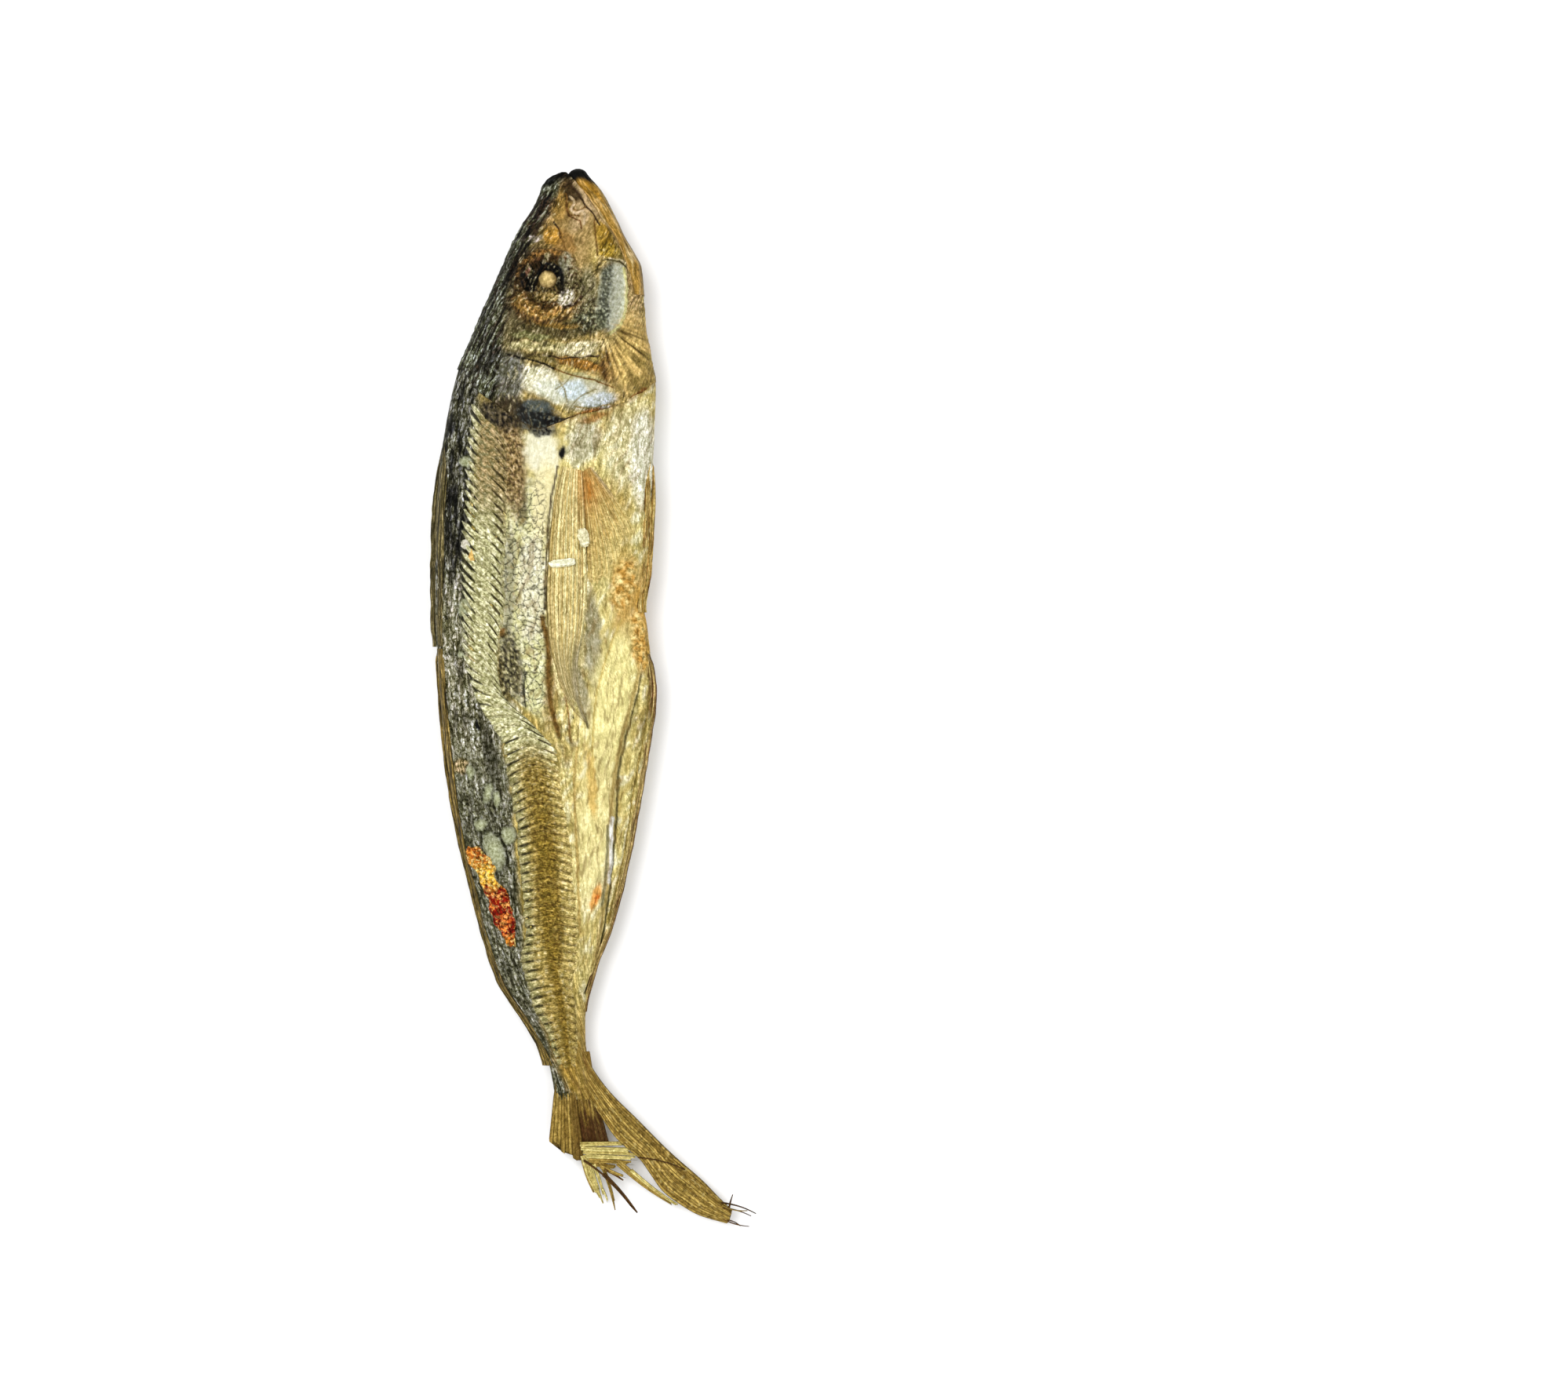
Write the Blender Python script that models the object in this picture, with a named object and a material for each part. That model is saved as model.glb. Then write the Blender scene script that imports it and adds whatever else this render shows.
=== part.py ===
"""A dried horse mackerel lying on one flank, its snout towards +Y, its back towards -X and its belly towards +X.

The plan of the fish is two edges, back and belly, each a smooth curve through a few stations. A station is a distance
behind the snout. Over that plan the upper and the lower flank are two rounded heights, so that every part which lies
on the fish, such as a fin, a gill cover or the keeled scales, finds its own height from the same two functions.
Sizes are in millimetres until a mesh is made, and the finished part is in metres.
"""

import math

import bmesh
import bpy
import numpy as np
from mathutils import Vector

MM = 0.001
PART_NAME = "dried_mackerel"
FUSED_PARTS = "pieces_to_fuse"

# Driving dimensions
LENGTH = 216.2
UPPER, LOWER = 1, -1

# Plan of the body: (distance behind the snout, x of the edge)
BACK_EDGE = (
    (0.9, -7.4), (1.4, -8.6), (2.0, -9.6), (3.2, -10.8), (5.3, -11.7), (7.8, -12.9), (14.6, -16.9), (22.2, -20.1),
    (30.4, -23.8), (43.8, -28.7), (62.4, -31.9), (75.2, -32.7), (89.3, -32.7), (106.4, -31.9), (127.5, -29.5),
    (146.2, -25.4), (165.1, -19.9), (175.8, -13.2), (182.9, -9.7), (189.6, -8.3),
)
BELLY_EDGE = (
    (0.9, -6.0), (1.4, -5.2), (2.4, -3.8), (4.6, -1.8), (8.0, 0.8), (11.4, 3.2), (14.9, 5.5), (20.8, 8.9),
    (32.6, 10.2), (43.8, 11.8), (64.8, 11.3), (84.6, 10.0), (89.3, 9.5), (93.1, 10.2), (106.8, 11.4), (118.1, 10.2),
    (135.5, 7.3), (153.3, 3.1), (164.2, -0.7), (173.6, -2.6), (180.0, -2.2), (189.6, 1.6),
)
# Side view of the body: height of the mid-plane, and how far each flank swells from it
MID_HEIGHT = ((0, 6.8), (20, 7.1), (50, 7.6), (90, 7.2), (130, 6.5), (165, 5.7), (190, 5.0))
UPPER_SWELL = (
    (0, 1.5), (8, 3.6), (20, 6.3), (35, 8.4), (50, 9.4), (90, 9.0), (110, 8.3), (130, 7.0), (150, 5.6),
    (165, 4.2), (178, 2.6), (185, 1.4), (190, 0.6),
)
LOWER_SWELL = (
    (0, 1.4), (8, 3.3), (20, 5.5), (35, 6.4), (50, 7.0), (62, 7.6), (90, 7.5), (110, 7.1), (130, 5.9),
    (150, 4.8), (165, 3.7), (178, 2.4), (185, 1.3), (190, 0.6),
)
BODY_START, HEAD_END, BODY_END = 0.9, 56.0, 189.6
HEAD_STATION_STEP, TRUNK_STATION_STEP = 2.6, 4.0
UPPER_STEPS, LOWER_STEPS = 17, 9

# Fullness of a section: an exponent under 1 is blunt, over 1 is keeled
BACK_FULLNESS, BELLY_FULLNESS, LOWER_FULLNESS = 0.72, 1.12, 0.75

# Head
EYE_X, EYE_AT, EYE_RADIUS = -9.7, 23.8, 6.4
EYELID_THICKNESS, SOCKET_DEPTH = 0.8, 1.3
LENS_RADIUS = 1.7
CHEEK_X, CHEEK_AT, CHEEK_HALF_WIDTH, CHEEK_HALF_LENGTH, CHEEK_RISE = 3.6, 26.4, 3.3, 7.4, 0.5
JAW_OUTER_EDGE = (
    (0.1, -3.4), (0.4, -2.5), (1.2, -1.9), (4.5, 0.9), (9.0, 3.4), (13.9, 5.7), (17.7, 7.9), (20.2, 9.1), (26.0, 9.7),
)
JAW_INNER_EDGE = ((0.1, -4.2), (0.5, -5.2), (1.3, -5.8), (6.4, -2.2), (10.4, 0.4), (14.6, 3.6), (26.0, 7.4))
JAW_SWELL = ((0.1, 0.6), (0.8, 1.5), (2, 1.9), (8, 3.0), (16, 4.2), (22, 4.6), (26.0, 4.0))
GILL_FRONT = ((34.4, -24.1), (37.9, -16.9), (37.9, -9.7), (36.0, -0.6), (36.0, 4.7), (32.6, 9.9))
GILL_REAR = (
    (41.2, -26.8), (46.0, -23.5), (49.2, -19.0), (52.1, -15.0), (53.8, -11.0), (52.5, -7.5), (50.9, -3.9),
    (50.2, 0.1), (49.2, 3.5), (48.1, 6.4), (46.3, 9.2), (43.7, 11.7),
)
GILL_THICKNESS, GILL_PROUD = 1.2, 0.5

# Lateral line of keeled scales: (distance, x) of its middle, and its half width
SCUTE_LINE = (
    (50.4, -21.0), (66.6, -22.2), (85.0, -22.8), (97.0, -23.0), (103.6, -22.3), (108.4, -19.7), (112.4, -16.4),
    (116.8, -13.2), (125.6, -11.5), (141.6, -9.8), (157.6, -8.8), (173.6, -6.5), (183.2, -5.4), (189.6, -3.1),
)
SCUTE_HALF_WIDTH = ((50.4, 3.6), (60, 4.5), (106, 4.7), (118, 5.6), (155, 5.8), (173.6, 4.0), (183, 2.4), (189.6, 1.2))
SCUTE_START, SCUTE_END = 53.0, 183.0
SCUTE_PITCH_FRONT, SCUTE_PITCH_REAR = 2.45, 2.25
# How far a scute's back and belly ends lie behind its middle
SCUTE_BACK_SWEEP = (
    (50, -4.8), (98, -4.8), (106, -2.6), (111, 0.2), (117, 2.4), (125, 2.8), (134, 1.8), (150, 1.2), (190, 0.8),
)
SCUTE_BELLY_SWEEP = ((50, 4.6), (102, 4.4), (112, 2.8), (120, 2.0), (130, 1.6), (190, 0.8))
SCUTE_CREST, SCUTE_VALLEY, SCUTE_THICKNESS = 0.6, 0.1, 1.5
SCUTE_NARROW = 0.62

# A patch of torn skin that stands up behind the scale line's bend: (distance, x) round it, and its height
TORN_SKIN_BACK_EDGE = ((137.8, -25.6), (140.4, -25.9), (143.0, -24.6), (148.0, -22.7), (153.0, -21.1), (158.8, -17.6))
TORN_SKIN_INNER_EDGE = ((138.2, -24.0), (140.0, -21.8), (144.4, -20.2), (149.6, -17.0), (153.4, -16.2), (159.0, -16.6))
TORN_SKIN_PROUD, TORN_SKIN_THICKNESS, TORN_SKIN_ROUGHNESS = 0.15, 0.9, 0.3

# Folded fins: (start, end) behind the snout and how far they stand out of the edge they lie on
SPINY_DORSAL = ((58.0, 97.5), ((58.0, 0.1), (66.0, 0.9), (84.0, 1.2), (97.5, 1.0)))
SOFT_DORSAL = ((98.5, 183.0), ((98.5, 0.5), (120.0, 0.7), (165.0, 0.9), (178.0, 1.0), (183.0, 1.5)))
ANAL = ((99.5, 172.0), ((99.5, 0.3), (107.0, 0.9), (125.0, 0.6), (150.0, 0.7), (172.0, 0.4)))
PELVIC = ((60.0, 90.5), ((60.0, 0.2), (68.0, 0.9), (80.0, 1.0), (90.5, 0.6)))
FOLDED_FIN_DEPTH, FOLDED_FIN_THICKNESS = 2.2, 1.6

# Breast fin, pressed on the flank: its two edges
PECTORAL_BACK_EDGE = (
    (61.0, -6.9), (68.0, -8.5), (77.6, -9.3), (87.2, -9.9), (95.2, -9.4), (103.2, -7.8), (113.1, -2.2),
)
PECTORAL_BELLY_EDGE = (
    (62.0, -2.7), (69.8, -2.1), (85.6, -1.5), (93.6, -2.1), (101.6, -3.4), (108.8, -2.8), (113.3, -1.8),
)
PECTORAL_RAYS, PECTORAL_ROWS = 5, 9
PECTORAL_PROUD, PECTORAL_THICKNESS, RAY_RELIEF = 0.55, 1.3, 0.16

# Tail fin: edges of each lobe, and height of its mid-plane along it
SHORT_LOBE_BACK_EDGE = ((176.0, -10.4), (182.0, -8.8), (186.0, -8.5), (190.0, -8.9), (194.0, -9.3), (198.8, -9.8))
SHORT_LOBE_INNER_EDGE = ((178.0, -5.0), (184.0, -4.4), (190.0, -3.8), (198.0, -3.0), (204.0, -2.4))
WEB_BACK_EDGE = ((180.0, -5.4), (186.0, -4.8), (192.0, -4.0), (199.1, -3.4))
WEB_INNER_EDGE = ((180.0, -1.4), (186.0, -0.4), (192.0, 0.8), (195.6, 1.7), (199.1, 2.6))
LONG_LOBE_OUTER_EDGE = (
    (178.0, -3.4), (182.2, -1.5), (187.8, 2.2), (194.1, 8.4), (200.9, 15.1), (206.8, 21.8), (212.7, 27.8),
)
LONG_LOBE_INNER_EDGE = (
    (180.0, -6.0), (190.6, -0.8), (197.7, 3.8), (202.3, 8.8), (205.4, 11.0), (208.6, 13.3), (213.7, 20.9),
    (215.5, 26.9),
)
LOBE_THICKNESS, LOBE_ROWS = 1.0, 7
# Each lobe: heights at its root and tip, number of rays, and how unevenly they end
SHORT_LOBE = ((5.6, 3.9), 5, 0.07)
WEB = ((5.5, 3.8), 3, 0.03)
LONG_LOBE = ((5.7, 3.2), 4, 0.015)

# Loose rays of the tail: (start, end, start width, end width), each point being (distance, x, height)
LOOSE_RAYS = {
    "bundle_across": ((200.5, -3.2, 4.5), (200.8, 8.2, 4.4), 4.2, 3.6),
    "splayed_inner": ((201.2, -2.0, 4.2), (210.6, 1.0, 2.8), 3.2, 2.0),
    "splayed_middle": ((202.2, 0.6, 4.2), (212.7, 3.8, 2.0), 1.0, 0.6),
    "splayed_outer": ((203.2, 1.0, 4.1), (213.5, 8.4, 2.2), 1.0, 0.6),
    "side_splinter": ((203.2, 0.8, 4.1), (206.1, 6.8, 3.4), 1.1, 0.6),
    "second_ray": ((202.6, 4.4, 4.3), (212.3, 17.4, 3.6), 1.7, 1.2),
    "tip_thread_long": ((210.2, 24.0, 3.7), (213.8, 33.8, 4.2), 1.0, 0.5),
    "tip_thread_short": ((213.2, 24.0, 3.3), (216.2, 31.0, 2.6), 1.0, 0.5),
}
LOOSE_RAY_THICKNESS = 0.8
LOOSE_RAY_ROWS = 3

SKIN_COLOUR = (0.42, 0.34, 0.17)


def through(points, at):
    """Smooth curve through (station, value) points that never swings past them, read at the given stations."""
    station, value = np.array(points, float).T
    width = np.diff(station)
    slope = np.diff(value) / width
    tangent = np.concatenate([slope[:1], np.zeros(len(slope) - 1), slope[-1:]])
    same_way = slope[:-1] * slope[1:] > 0
    mean = 2 * slope[:-1] * slope[1:] / np.where(same_way, slope[:-1] + slope[1:], 1)
    tangent[1:-1] = np.where(same_way, mean, 0)
    at = np.clip(np.asarray(at, float), station[0], station[-1])
    k = np.clip(np.searchsorted(station, at) - 1, 0, len(width) - 1)
    t = (at - station[k]) / width[k]
    return (
        (1 + 2 * t) * (1 - t) ** 2 * value[k]
        + t * (1 - t) ** 2 * width[k] * tangent[k]
        + t**2 * (3 - 2 * t) * value[k + 1]
        + t**2 * (t - 1) * width[k] * tangent[k + 1]
    )


def smooth_step(low, high, x):
    """0 below low, 1 above high, and an S-curve between them."""
    t = np.clip((x - low) / (high - low), 0, 1)
    return t * t * (3 - 2 * t)


def relief(x, at, side):
    """What stands out of the flank, or sinks into it: the eye socket, the cheek, the scale line and the belly's hollow."""
    from_eye = np.hypot(x - EYE_X, at - EYE_AT) / EYE_RADIUS
    socket = -SOCKET_DEPTH * (1 - smooth_step(0.55, 1.0, from_eye))
    from_cheek = np.hypot((x - CHEEK_X) / CHEEK_HALF_WIDTH, (at - CHEEK_AT) / CHEEK_HALF_LENGTH)
    cheek = CHEEK_RISE * (1 - smooth_step(0.6, 1.1, from_cheek))
    from_line = np.abs(x - through(SCUTE_LINE, at)) / through(SCUTE_HALF_WIDTH, at)
    along_line = smooth_step(50, 56, at) * (1 - smooth_step(180, 189, at))
    scale_line = 0.35 * (1 - smooth_step(0.5, 1.3, from_line)) * along_line
    hollow_x = 3.5 + 1.5 * smooth_step(60, 110, at)
    hollow_along = smooth_step(60, 78, at) * (1 - smooth_step(112, 140, at))
    hollow = -1.5 * np.exp(-(((x - hollow_x) / 3.4) ** 2)) * hollow_along
    crease_x = through(((92.0, 9.8), (118.1, 5.7), (144.0, 2.9), (168.8, -2.7)), at)
    crease_along = smooth_step(92, 104, at) * (1 - smooth_step(160, 169, at))
    crease = -0.6 * np.exp(-(((x - crease_x) / 1.0) ** 2)) * crease_along
    shown = socket + cheek + scale_line + hollow + crease
    return shown if side == UPPER else 0.6 * shown


def skin_height(x, at, side):
    """Height of a flank over the plan point x, at. The flank that the fish lies on is flat where it would pass the ground."""
    x, at = np.broadcast_arrays(np.asarray(x, float), np.asarray(at, float))
    back, belly = through(BACK_EDGE, at), through(BELLY_EDGE, at)
    across = np.clip((2 * x - back - belly) / (belly - back), -1, 1)
    rise = np.sqrt(1 - across**2)
    middle = through(MID_HEIGHT, at)
    if side == UPPER:
        fullness = BACK_FULLNESS + (BELLY_FULLNESS - BACK_FULLNESS) * smooth_step(-0.6, 1, across)
        return middle + through(UPPER_SWELL, at) * rise**fullness + relief(x, at, side) * rise
    below = through(LOWER_SWELL, at) * rise**LOWER_FULLNESS + relief(x, at, side) * rise
    return np.maximum(middle - below, 0)


def in_space(x, at, height):
    """The plan point x, at and its height as a point of the finished part, in metres."""
    x, at, height = np.broadcast_arrays(x, at, height)
    return np.stack([x, LENGTH / 2 - at, height], axis=-1) * MM


def solid(name, points, faces, collection):
    """An object made of these points and faces, its faces turned outward."""
    mesh = bpy.data.meshes.new(name)
    mesh.from_pydata(points, [], faces)
    work = bmesh.new()
    work.from_mesh(mesh)
    bmesh.ops.recalc_face_normals(work, faces=work.faces)
    work.to_mesh(mesh)
    work.free()
    mesh.shade_smooth()
    obj = bpy.data.objects.new(name, mesh)
    collection.objects.link(obj)
    return obj


def closed_loft(name, rings, collection):
    """A closed skin over rings of equally many points, with a fan of faces at each end."""
    rings = np.array(rings)
    rows, count = rings.shape[:2]
    near = np.arange(count)
    far = np.roll(near, -1)
    ring = np.stack([near, far, far + count, near + count], axis=1)
    faces = [face for row in range(rows - 1) for face in (ring + row * count).tolist()]
    first, last = rows * count, rows * count + 1
    faces += [(first, b, a) for a, b in zip(near, far)]
    faces += [(last, a, b) for a, b in zip(near + (rows - 1) * count, far + (rows - 1) * count)]
    ends = [rings[0].mean(axis=0), rings[-1].mean(axis=0)]
    return solid(name, np.concatenate([rings.reshape(-1, 3), ends]), faces, collection)


def slab(name, top, bottom, collection):
    """A thin solid between two grids of points that lie over the same plan, both split into the same triangles."""
    rows, columns = top.shape[:2]
    count = rows * columns
    grid = np.arange(count).reshape(rows, columns)
    a, b, c, d = (part.ravel() for part in (grid[:-1, :-1], grid[1:, :-1], grid[1:, 1:], grid[:-1, 1:]))
    upper = np.concatenate([np.stack([a, b, c], axis=1), np.stack([a, c, d], axis=1)])
    lower = upper[:, ::-1] + count
    rim = np.concatenate([grid[:, 0], grid[-1, 1:], grid[-2::-1, -1], grid[0, -2:0:-1]])
    after = np.roll(rim, -1)
    wall = np.concatenate([
        np.stack([after, rim, rim + count], axis=1), np.stack([after, rim + count, after + count], axis=1)
    ])
    points = np.concatenate([top.reshape(-1, 3), bottom.reshape(-1, 3)])
    return solid(name, points, np.concatenate([upper, lower, wall]).tolist(), collection)


def stations(start, end, step):
    """Evenly spaced distances from start to end, about a step apart."""
    return np.linspace(start, end, max(2, round((end - start) / step) + 1))


def section_spread(steps):
    """Places across a section from -1, the back, to 1, the belly, a little closer together at both edges."""
    angle = np.linspace(0, math.pi, steps + 1)
    return 0.5 * (2 * angle / math.pi - 1) - 0.5 * np.cos(angle)


def body(collection):
    """Head and trunk as one loft of sections, from the upper jaw to the root of the tail."""
    head = stations(BODY_START, HEAD_END, HEAD_STATION_STEP)
    trunk = stations(HEAD_END, BODY_END, TRUNK_STATION_STEP)[1:]
    over, under = section_spread(UPPER_STEPS), section_spread(LOWER_STEPS)[1:-1][::-1]
    rings = []
    for at in np.concatenate([head, trunk]):
        back, belly = through(BACK_EDGE, at), through(BELLY_EDGE, at)
        middle, half = (back + belly) / 2, (belly - back) / 2
        upper_x, lower_x = middle + half * over, middle + half * under
        upper = in_space(upper_x, at, skin_height(upper_x, at, UPPER))
        lower = in_space(lower_x, at, skin_height(lower_x, at, LOWER))
        rings.append(np.concatenate([upper, lower]))
    return closed_loft(PART_NAME, rings, collection)


def lower_jaw(collection):
    """The lower jaw, a slim loft along the belly edge of the head whose tip stands clear of the upper jaw."""
    rings = []
    around = np.linspace(0, 2 * math.pi, 14, endpoint=False)
    for at in stations(JAW_OUTER_EDGE[0][0], JAW_OUTER_EDGE[-1][0], 1.8):
        outer, inner = through(JAW_OUTER_EDGE, at), through(JAW_INNER_EDGE, at)
        x = (outer + inner) / 2 + (outer - inner) / 2 * np.cos(around)
        height = through(MID_HEIGHT, at) + through(JAW_SWELL, at) * np.sin(around)
        rings.append(in_space(x, at, height))
    return closed_loft("lower_jaw", rings, collection)


def gill_cover(collection, side):
    """The bony plate behind the cheek, whose rear edge stands proud of the trunk."""
    over, along = np.linspace(0, 1, 12), np.linspace(0, 1, 5)
    front_at, front_x = edge_points(GILL_FRONT, over)
    rear_at, rear_x = edge_points(GILL_REAR, over)
    at = front_at + (rear_at - front_at) * along[:, None]
    x = front_x + (rear_x - front_x) * along[:, None]
    proud = GILL_PROUD * smooth_step(0, 0.7, along)[:, None]
    return plate(f"gill_cover_{side}", x, at, proud, GILL_THICKNESS, side, collection)


def edge_points(edge, share):
    """Points at these shares of an edge's length, as two arrays: distances behind the snout, and x."""
    edge = np.array(edge, float)
    length = np.concatenate([[0], np.cumsum(np.hypot(*np.diff(edge, axis=0).T))])
    reach = np.asarray(share) * length[-1]
    return (through(np.stack([length, edge[:, column]], axis=1), reach) for column in (0, 1))


def plate(name, x, at, proud, thickness, side, collection):
    """A slab that follows a flank, its outer face standing proud of the skin."""
    face = skin_height(x, at, side) + side * proud
    inner = face - side * thickness
    if side == LOWER:
        face, inner = np.maximum(face, 0), np.maximum(inner, thickness)
    outer, inner = in_space(x, at, face), in_space(x, at, inner)
    return slab(name, *((outer, inner) if side == UPPER else (inner, outer)), collection)


def skin_normal(x, at, side):
    """Unit normal of a flank at one plan point, pointing out of the fish."""
    step = 0.5
    slope_x = float(skin_height(x + step, at, side) - skin_height(x - step, at, side)) / (2 * step)
    slope_y = float(skin_height(x, at - step, side) - skin_height(x, at + step, side)) / (2 * step)
    return (Vector((-slope_x, -slope_y, 1)) * side).normalized()


def eye(collection, side):
    """A thick dried eyelid round the socket, and the shrunken lens in it."""
    rim_at = EYE_AT
    rim_height = np.mean([
        float(skin_height(EYE_X + EYE_RADIUS * math.cos(a), rim_at + EYE_RADIUS * math.sin(a), side))
        for a in np.linspace(0, 2 * math.pi, 8, endpoint=False)
    ])
    tilt = Vector((0, 0, 1)).rotation_difference(skin_normal(EYE_X, rim_at + 2.0, side))
    bpy.ops.mesh.primitive_torus_add(
        major_segments=20, minor_segments=6, major_radius=EYE_RADIUS * MM, minor_radius=EYELID_THICKNESS * MM
    )
    lid = bpy.context.object
    lid.name = f"eyelid_{side}"
    lid.rotation_mode = "QUATERNION"
    lid.rotation_quaternion = tilt
    lid.location = Vector(in_space(EYE_X, rim_at, rim_height))
    bpy.ops.mesh.primitive_uv_sphere_add(segments=10, ring_count=6, radius=LENS_RADIUS * MM)
    lens = bpy.context.object
    lens.name = f"lens_{side}"
    floor = float(skin_height(EYE_X, EYE_AT - 0.6, side))
    lens.location = Vector(in_space(EYE_X, EYE_AT - 0.6, floor + side * 0.3))
    for obj in (lid, lens):
        for holder in obj.users_collection:
            holder.objects.unlink(obj)
        collection.objects.link(obj)
    return lid, lens


def scute_places():
    """Distances behind the snout of every scute of the lateral line, closer together towards the tail."""
    places, at = [], SCUTE_START
    while at < SCUTE_END:
        places.append(at)
        share = (at - SCUTE_START) / (SCUTE_END - SCUTE_START)
        at += SCUTE_PITCH_FRONT + (SCUTE_PITCH_REAR - SCUTE_PITCH_FRONT) * share
    return np.array(places)


def scute_row(collection):
    """The lateral line's keeled scales: one strip whose rows rise and widen at each scute and sink between them."""
    crests = scute_places()
    rows = np.sort(np.concatenate([crests, (crests[:-1] + crests[1:]) / 2]))
    is_crest = np.isin(rows, crests)[:, None]
    across = np.array([-1.0, -0.33, 0.33, 1.0])[None, :]
    wide = through(SCUTE_HALF_WIDTH, rows)[:, None] * np.where(is_crest, 1.0, SCUTE_NARROW)
    x = through(SCUTE_LINE, rows)[:, None] + across * wide
    sweep = np.where(across < 0, through(SCUTE_BACK_SWEEP, rows)[:, None], through(SCUTE_BELLY_SWEEP, rows)[:, None])
    reach = np.where(is_crest, 1.0, SCUTE_NARROW)
    at = rows[:, None] + sweep * np.abs(across) ** 1.3 * reach
    proud = np.where(is_crest, SCUTE_CREST, SCUTE_VALLEY) * (1 - 0.5 * np.abs(across))
    return plate("scute_row", x, at, proud, SCUTE_THICKNESS, UPPER, collection)


def torn_skin(collection):
    """A rough patch where the skin has torn and dried upwards."""
    along, across = np.linspace(0, 1, 8)[:, None], np.linspace(0, 1, 5)
    back_at, back_x = edge_points(TORN_SKIN_BACK_EDGE, along)
    inner_at, inner_x = edge_points(TORN_SKIN_INNER_EDGE, along)
    at, x = back_at + (inner_at - back_at) * across, back_x + (inner_x - back_x) * across
    proud = TORN_SKIN_PROUD + np.random.default_rng(8).uniform(0, TORN_SKIN_ROUGHNESS, x.shape)
    plate("torn_skin", x, at, proud, TORN_SKIN_THICKNESS, UPPER, collection)


def pectoral_fin(collection, side):
    """The breast fin folded back along the flank, with a ridge for each ray."""
    columns = np.linspace(0, 1, 2 * PECTORAL_RAYS + 1)
    along = np.linspace(0, 1, PECTORAL_ROWS)
    back_at, back_x = edge_points(PECTORAL_BACK_EDGE, along)
    belly_at, belly_x = edge_points(PECTORAL_BELLY_EDGE, along)
    at = back_at[:, None] + (belly_at - back_at)[:, None] * columns
    x = back_x[:, None] + (belly_x - back_x)[:, None] * columns
    ridge = RAY_RELIEF * np.where(np.arange(len(columns)) % 2, 1, -1)
    proud = PECTORAL_PROUD * (1 - 0.55 * along)[:, None] + ridge
    return plate(f"pectoral_fin_{side}", x, at, proud, PECTORAL_THICKNESS, side, collection)


def folded_fin(name, edge, reach, stands_out, outward, collection):
    """A fin folded flat along the back or the belly: a strip that starts inside the body and stands out of its edge."""
    rows = stations(*reach, 3.2)
    x_edge = through(edge, rows)
    across = np.array([-FOLDED_FIN_DEPTH, -0.6, 0.0])[None, :]
    tip = through(stands_out, rows)[:, None]
    x = x_edge[:, None] + outward * (across + tip * np.array([0.0, 0.6, 1.0]))
    half = FOLDED_FIN_THICKNESS / 2 * np.array([1.0, 0.9, 0.45])
    middle = through(MID_HEIGHT, rows)[:, None]
    top, bottom = in_space(x, rows[:, None], middle + half), in_space(x, rows[:, None], middle - half)
    return slab(name, top, bottom, collection)


def tail_lobe(name, outer_edge, inner_edge, heights, rays, spread, seed, collection):
    """One lobe of the tail fin: a slab with a ridge for each ray, whose rays end at uneven lengths."""
    shorten = np.random.default_rng(seed).uniform(0, spread, rays)
    ends = 1 - np.repeat(shorten, 2)
    columns = np.linspace(0, 1, 2 * rays + 1)
    reach = np.minimum(np.append(ends, ends[-1]), np.insert(ends, 0, ends[0]))
    reach[1::2] = 1 - shorten
    along = np.linspace(0, 1, LOBE_ROWS)[:, None] * reach
    outer_at, outer_x = edge_points(outer_edge, along)
    inner_at, inner_x = edge_points(inner_edge, along)
    at, x = outer_at + (inner_at - outer_at) * columns, outer_x + (inner_x - outer_x) * columns
    ridge = RAY_RELIEF * np.where(np.arange(len(columns)) % 2, 1, -1)
    middle = heights[0] + (heights[1] - heights[0]) * along + ridge
    half = LOBE_THICKNESS / 2 * (1.3 - 0.5 * along)
    return slab(name, in_space(x, at, middle + half), in_space(x, at, middle - half - 2 * ridge), collection)


def loose_ray(name, start, end, start_width, end_width, collection):
    """A splinter of the torn tail fin: a flat tapering strip between two points."""
    along = np.linspace(0, 1, LOOSE_RAY_ROWS)[:, None]
    middle = np.array(start) + (np.array(end) - np.array(start)) * along
    run = np.array(end[:2]) - np.array(start[:2])
    sideways = np.array([-run[1], run[0]]) / np.hypot(*run)
    width = (start_width + (end_width - start_width) * along) * np.array([-0.5, 0.0, 0.5])
    at = middle[:, :1] + sideways[0] * width
    x = middle[:, 1:2] + sideways[1] * width
    crown = LOOSE_RAY_THICKNESS / 2 * np.array([0.7, 1.0, 0.7]) * (1 - 0.4 * along)
    height = middle[:, 2:] + np.zeros(3)
    return slab(name, in_space(x, at, height + crown), in_space(x, at, height - crown), collection)


def fuse(base, collection):
    """One Boolean union of the body and everything in the collection, applied, with the fused objects removed."""
    union = base.modifiers.new("fuse", "BOOLEAN")
    union.operation = "UNION"
    union.solver = "EXACT"
    union.operand_type = "COLLECTION"
    union.collection = collection
    graph = bpy.context.evaluated_depsgraph_get()
    fused = bpy.data.meshes.new_from_object(base.evaluated_get(graph))
    base.modifiers.clear()
    base.data = fused
    for obj in list(collection.objects):
        bpy.data.objects.remove(obj)
    bpy.data.collections.remove(collection)


def skin_material():
    """Leathery dried skin, olive gold overall."""
    material = bpy.data.materials.new("dried_skin")
    material.use_nodes = True
    shader = material.node_tree.nodes["Principled BSDF"]
    shader.inputs["Base Color"].default_value = (*SKIN_COLOUR, 1)
    shader.inputs["Roughness"].default_value = 0.5
    shader.inputs["Metallic"].default_value = 0.0
    return material


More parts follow.
